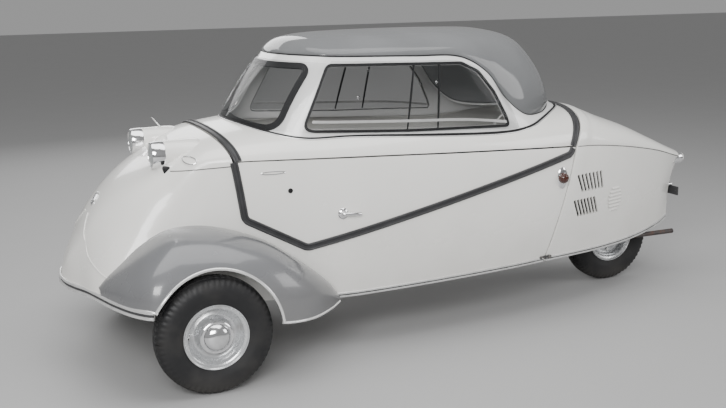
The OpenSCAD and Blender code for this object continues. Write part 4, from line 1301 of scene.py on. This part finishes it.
def wheels():
    tyre_skin = tread(TYRE_PROFILE)
    for body, side, x, y, sign in (("left_front_wheel", "left", FRONT_AXLE, WHEEL_Y, 1),
                                   ("right_front_wheel", "right", FRONT_AXLE, -WHEEL_Y, -1),
                                   ("rear_wheel", "rear", REAR_AXLE, 0, 1)):
        middle = np.array([x, y, WHEEL_R]) * MM
        centre = middle / MM
        tyre = grid(f"{side}_treaded_tyre",
                    np.concatenate([tyre_skin, tyre_skin[:, :1]], 1) * (1, sign, 1) + middle)
        weld(tyre)
        settle(tyre)
        finish(soften(tyre, 40), TYRE, "tyre_rubber", body, f"{side}_tyre")
        pressed = turned(f"{side}_pressed_wheel", WHEEL_PROFILE, centre, "Y", 96, sign)
        if side == "rear":
            cut(pressed, join(*ring_of("wheel_hole", WHEEL_HOLE, centre, 4, 81, 45, 20, sign)))
        finish(pressed, LACQUER, "silver_wheel", body, f"{side}_wheel")
        nuts = ring_of("wheel_nut", WHEEL_NUT, centre, 4, 66, 0, 6, sign) if side == "rear" else []
        valve = tube("valve", [centre + np.array(point) * (1, sign, 1) for point in VALVE], 3, 10)
        fittings = join(*nuts, valve) if nuts else valve
        finish(fittings, BRIGHT, "bright_trim", body).name = f"{side}_wheel_nuts"
        if side == "rear":
            for nut_side, way in BOTH_SIDES:
                nut = turned(f"rear_hub_nut_{nut_side}", HUB_NUT, centre, "Y", 32, way)
                finish(nut, STEEL, "black_steel", body)
        else:
            cap = turned(f"{side}_domed_hubcap", HUBCAP_PROFILE, centre, "Y", 96, sign)
            finish(cap, CHROME, "chrome", body, f"{side}_hubcap")


# ---- Cabin ---------------------------------------------------------------------------------
def inflate(piece):
    """Swells a closed block by pressure."""
    pick(piece)
    cloth = piece.modifiers.new("Cloth", "CLOTH")
    cloth.settings.use_pressure = True
    cloth.settings.uniform_pressure_force = 4
    cloth.settings.effector_weights.gravity = 0
    cloth.point_cache.frame_start, cloth.point_cache.frame_end = 1, 20
    for step in range(1, 21):
        bpy.context.scene.frame_set(step)
    bpy.ops.object.modifier_apply(modifier=cloth.name)
    bpy.context.scene.frame_set(1)


def vertex_places(piece):
    places = np.empty(len(piece.data.vertices) * 3)
    piece.data.vertices.foreach_get("co", places)
    return places.reshape(-1, 3)


def pad(name, low, high, channels, lean=None, about=None, most=9):
    """A stuffed cushion: a rounded block, swollen by up to most millimetres, then sewn into channels."""
    piece = block(name, np.array(low) + 8, np.array(high) - 8, 26, 4)
    modify(piece, "REMESH", mode="VOXEL", voxel_size=0.006)
    before = vertex_places(piece)
    inflate(piece)
    move = vertex_places(piece) - before
    far = np.linalg.norm(move, axis=1, keepdims=True)
    after = before + move * np.minimum(1, most * MM / np.maximum(far, 1e-9))
    low, high = np.array(low) * MM, np.array(high) * MM
    middle, half = (low + high) / 2, (high - low) / 2
    place = (after - middle) / half
    thin = int(np.argmin(half))
    first, second = [axis for axis in range(3) if axis != thin]
    crown = np.clip(1 - np.abs(place[:, first]) ** 4, 0, 1) * np.clip(1 - np.abs(place[:, second]) ** 4, 0, 1)
    depth = place[:, thin] if thin == 2 else np.abs(place[:, thin])
    face = np.clip((depth - 0.15) / 0.5, 0, 1)
    lane = (after[:, 1] - low[1]) / (high[1] - low[1]) * channels
    groove = np.exp(-(((lane + 0.5) % 1 - 0.5) / 0.10) ** 2) * (np.abs(place[:, 1]) < 0.93)
    after[:, thin] += np.sign(place[:, thin]) * (0.006 * crown - 0.008 * groove) * face
    after = np.clip(after, low, high)
    piece.data.vertices.foreach_set("co", after.ravel())
    modify(piece, "SUBSURF", levels=1, render_levels=1)
    if lean:
        spot = Vector(about) * MM
        piece.data.transform(Matrix.Translation(spot) @ lean @ Matrix.Translation(-spot))
    soften(piece, 80)
    return piece


def seats():
    cushion = pad("front_cushion", *FRONT_CUSHION, 7)
    finish(cushion, CLOTH, "seat_cover", "body", "front_seat")
    lean = Matrix.Rotation(math.radians(-14), 4, "Y")
    back = pad("front_backrest", (-100, -208, 398), (-28, 208, 772), 7, lean, (-30, 0, 395))
    finish(back, CLOTH, "seat_cover", "body")
    rear = pad("rear_cushion", *REAR_CUSHION, 8)
    finish(rear, CLOTH, "seat_cover", "body", "rear_seat")
    for name, (low, high) in (("front", FRONT_CUSHION), ("rear", REAR_CUSHION)):
        x0, y0, x1, y1 = low[0] + 6, low[1] + 6, high[0] - 6, high[1] - 6
        outline = rounded([(x0, y0), (x1, y0), (x1, y1), (x0, y1)], 30, reach=14)
        path = np.column_stack([outline, np.full(len(outline), (high[2] + low[2]) / 2 + 20)]) * MM
        cord = sweep(f"{name}_cushion_piping", path, np.tile([0, 0, 1.0], (len(path), 1)), disc(3.5, 8), True)
        finish(cord, PIPING, "seat_cover", "body")
    tubes = []
    for sign in (1, -1):
        tubes.append(tube("seat_leg", [(x, sign * 150, z) for x, z in FRONT_LEGS], 10))
        tubes.append(tube("rear_leg", [(x, sign * 190, z) for x, z in REAR_LEGS], 10))
    finish(join(*tubes), STEEL, "black_steel", "body").name = "seat_tubes"


def dashboard():
    low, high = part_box("dashboard")
    dash = block("dashboard_shell", np.array(low) / MM, np.array(high) / MM, 5)
    finish(dash, TRIM, "interior_panel", "body", "dashboard")
    x = low[0] / MM
    bezel = turned("speedometer_ring", SPEEDO_RING, (x, 0, DIAL_Z), "X", 48, -1)
    dial = turned("speedometer_dial", [(0, 1), (35, 1), (35, 3.5), (0, 3.5)], (x, 0, DIAL_Z), "X", 48, -1)
    marks = []
    for i in range(11):
        a = math.radians(-35 + 25 * i)
        mx, my, mz = x - 4.5, 27 * math.cos(a), DIAL_Z + 27 * math.sin(a)
        marks.append(block("dial_mark", (mx - 0.6, my - 4, mz - 0.7), (mx + 0.6, my + 4, mz + 0.7), 0.3, 1,
                           Matrix.Rotation(a, 4, "X")))
    needle = block("dial_needle", (x - 6, -1, DIAL_Z - 2), (x - 5, 22, DIAL_Z), 0.4, 1,
                   Matrix.Rotation(math.radians(35), 4, "X"), (x, 0, DIAL_Z))
    finish(bezel, CHROME, "chrome", "body")
    finish(dial, DIAL, "interior_panel", "body")
    finish(join(*marks, needle), GASKET, "interior_panel", "body").name = "dial_marks"
    for i, y in enumerate((-150, -105, 105, 150)):
        knob = turned(f"dash_knob_{i}", DASH_KNOB, (x, y, 672), "X", 28, -1)
        finish(knob, GRIP, "black_grip", "body")


def steering():
    """The steering bar with its two ribbed grips."""
    ribs = [point for k in range(11) for point in ((13.6, 174 - 8 * k), (12.2, 171 - 8 * k),
                                                   (12.2, 169 - 8 * k), (13.6, 167 - 8 * k))]
    profile = GRIP_END + ribs + [(14.5, 82), (11, 80), (0, 80)]
    grips = [turned("bar_grip", profile, sides=28, turn=sign) for sign in (1, -1)]
    bar = turned("handlebar", BAR, sides=28)
    boss = turned("bar_boss", BAR_BOSS, axis="Z", sides=48)
    for piece in (*grips, bar, boss):
        piece.data.transform(Matrix.Translation(Vector(BAR_CENTRE) * MM)
                             @ Matrix.Rotation(math.radians(BAR_TILT), 4, "Y"))
    finish(join(*grips), GRIP, "black_grip", "steering", "steering_bar").name = "steering_grips"
    finish(join(bar, boss), BRIGHT, "bright_trim", "steering").name = "steering_bar_tube"


def cabin():
    dashboard()
    for side, sign in BOTH_SIDES:
        face = sided(skin, sign)
        lining = panel(f"{side}_side_lining", raised(face, -12, sign), np.linspace(6.15, 11.8, 60),
                       np.linspace(0.12, 0.97, 24), 2, (0, 0, 0.5), 0)
        finish(lining, TRIM, "interior_panel", "body")
        s = np.linspace(7.2, 11.2, 60)
        w = 0 * s + 0.72
        inward = -sign * normals(face, s, w)
        welt = sweep(f"{side}_lining_welt", face(s, w) + 14 * MM * inward, inward, disc(4, 8))
        finish(welt, PIPING, "seat_cover", "body")
    mat = panel("floor_mat", lambda s, v: floor_skin(s, 0.06 + 0.88 * v, 14), np.linspace(6.3, 12.5, 60),
                np.linspace(0, 1, 40), 3, (0, 0, 0.0), 0)
    finish(mat, moulded("ribbed mat", (0.03, 0.03, 0.03), 0.6, 90.0, 0.0016), "underbody", "body")
    for i, y in enumerate((-90, 20, 90)):
        pedal = block(f"pedal_{i}", (716, y - 22, 318), (724, y + 22, 376), 3, 3,
                      Matrix.Rotation(math.radians(-25), 4, "Y"))
        stalk = tube(f"pedal_stalk_{i}", [(x, y, z) for x, z in PEDAL_STALK], 6)
        finish(join(pedal, stalk), GRIP, "black_grip", "body").name = f"foot_pedal_{i}"
    steering()


def engine_fins():
    fins = [block("fin", (-800 + 16 * i, -136, 420), (-796 + 16 * i, 136, 548), 1.2, 1) for i in range(9)]
    finish(join(*fins), ALLOY, "cast_alloy", "body").name = "engine_fins"


# ---- Floor, light and camera ---------------------------------------------------------------
def softbox(name, place, aim, size, power):
    bpy.ops.object.light_add(type="AREA", location=place)
    lamp = bpy.context.object
    lamp.name = name
    lamp.rotation_euler = (Vector(aim) - Vector(place)).to_track_quat("-Z", "Y").to_euler()
    lamp.data.shape = "RECTANGLE"
    lamp.data.size, lamp.data.size_y = size
    lamp.data.energy = power


def stage():
    deselect()
    bpy.ops.mesh.primitive_plane_add(size=60)
    floor = bpy.context.object
    floor.name = "studio_floor"
    pale = Finish("studio floor", (0.40, 0.40, 0.40), 0.6)
    pale.put("Roughness", 0.55 + 0.1 * pale.noise(3.0))
    floor.data.materials.append(pale.material)

    softbox("overhead", (0.4, 0.6, 4.2), (0, 0, 0.4), (5.0, 3.0), 150)
    softbox("key", (2.8, 4.6, 3.0), (0.2, 0, 0.5), (3.0, 2.0), 290)
    softbox("rear_fill", (-4.0, 2.6, 2.2), (-0.3, 0, 0.5), (2.4, 1.8), 60)
    softbox("far_fill", (0.5, -4.8, 2.6), (0, 0, 0.5), (3.0, 1.8), 60)
    world = bpy.data.worlds.new("studio")
    bpy.context.scene.world = world
    world.use_nodes = True
    background = world.node_tree.nodes["Background"].inputs
    background["Color"].default_value = (0.34, 0.34, 0.34, 1)
    background["Strength"].default_value = 1.0

    yaw, pitch, roll = CAMERA_TURN
    ahead = Vector((math.cos(pitch) * math.cos(yaw), math.cos(pitch) * math.sin(yaw), math.sin(pitch)))
    right = ahead.cross(Vector((0, 0, 1))).normalized()
    up = right.cross(ahead)
    right, up = (math.cos(roll) * right + math.sin(roll) * up, -math.sin(roll) * right + math.cos(roll) * up)
    bpy.ops.object.camera_add(location=CAMERA_AT)
    camera = bpy.context.object
    camera.name = "view"
    camera.rotation_euler = Matrix((right, up, -ahead)).transposed().to_euler()
    camera.data.sensor_width = 36
    camera.data.lens = 36 * FOCAL / FRAME_WIDTH
    camera.data.shift_x, camera.data.shift_y = 0.3958 / FRAME_WIDTH, 0.1802 / FRAME_WIDTH
    bpy.context.scene.camera = camera


stage()
body_panels()
wings()
mouldings()
canopy()
lamps_and_fittings()
wheels()
seats()
cabin()
engine_fins()
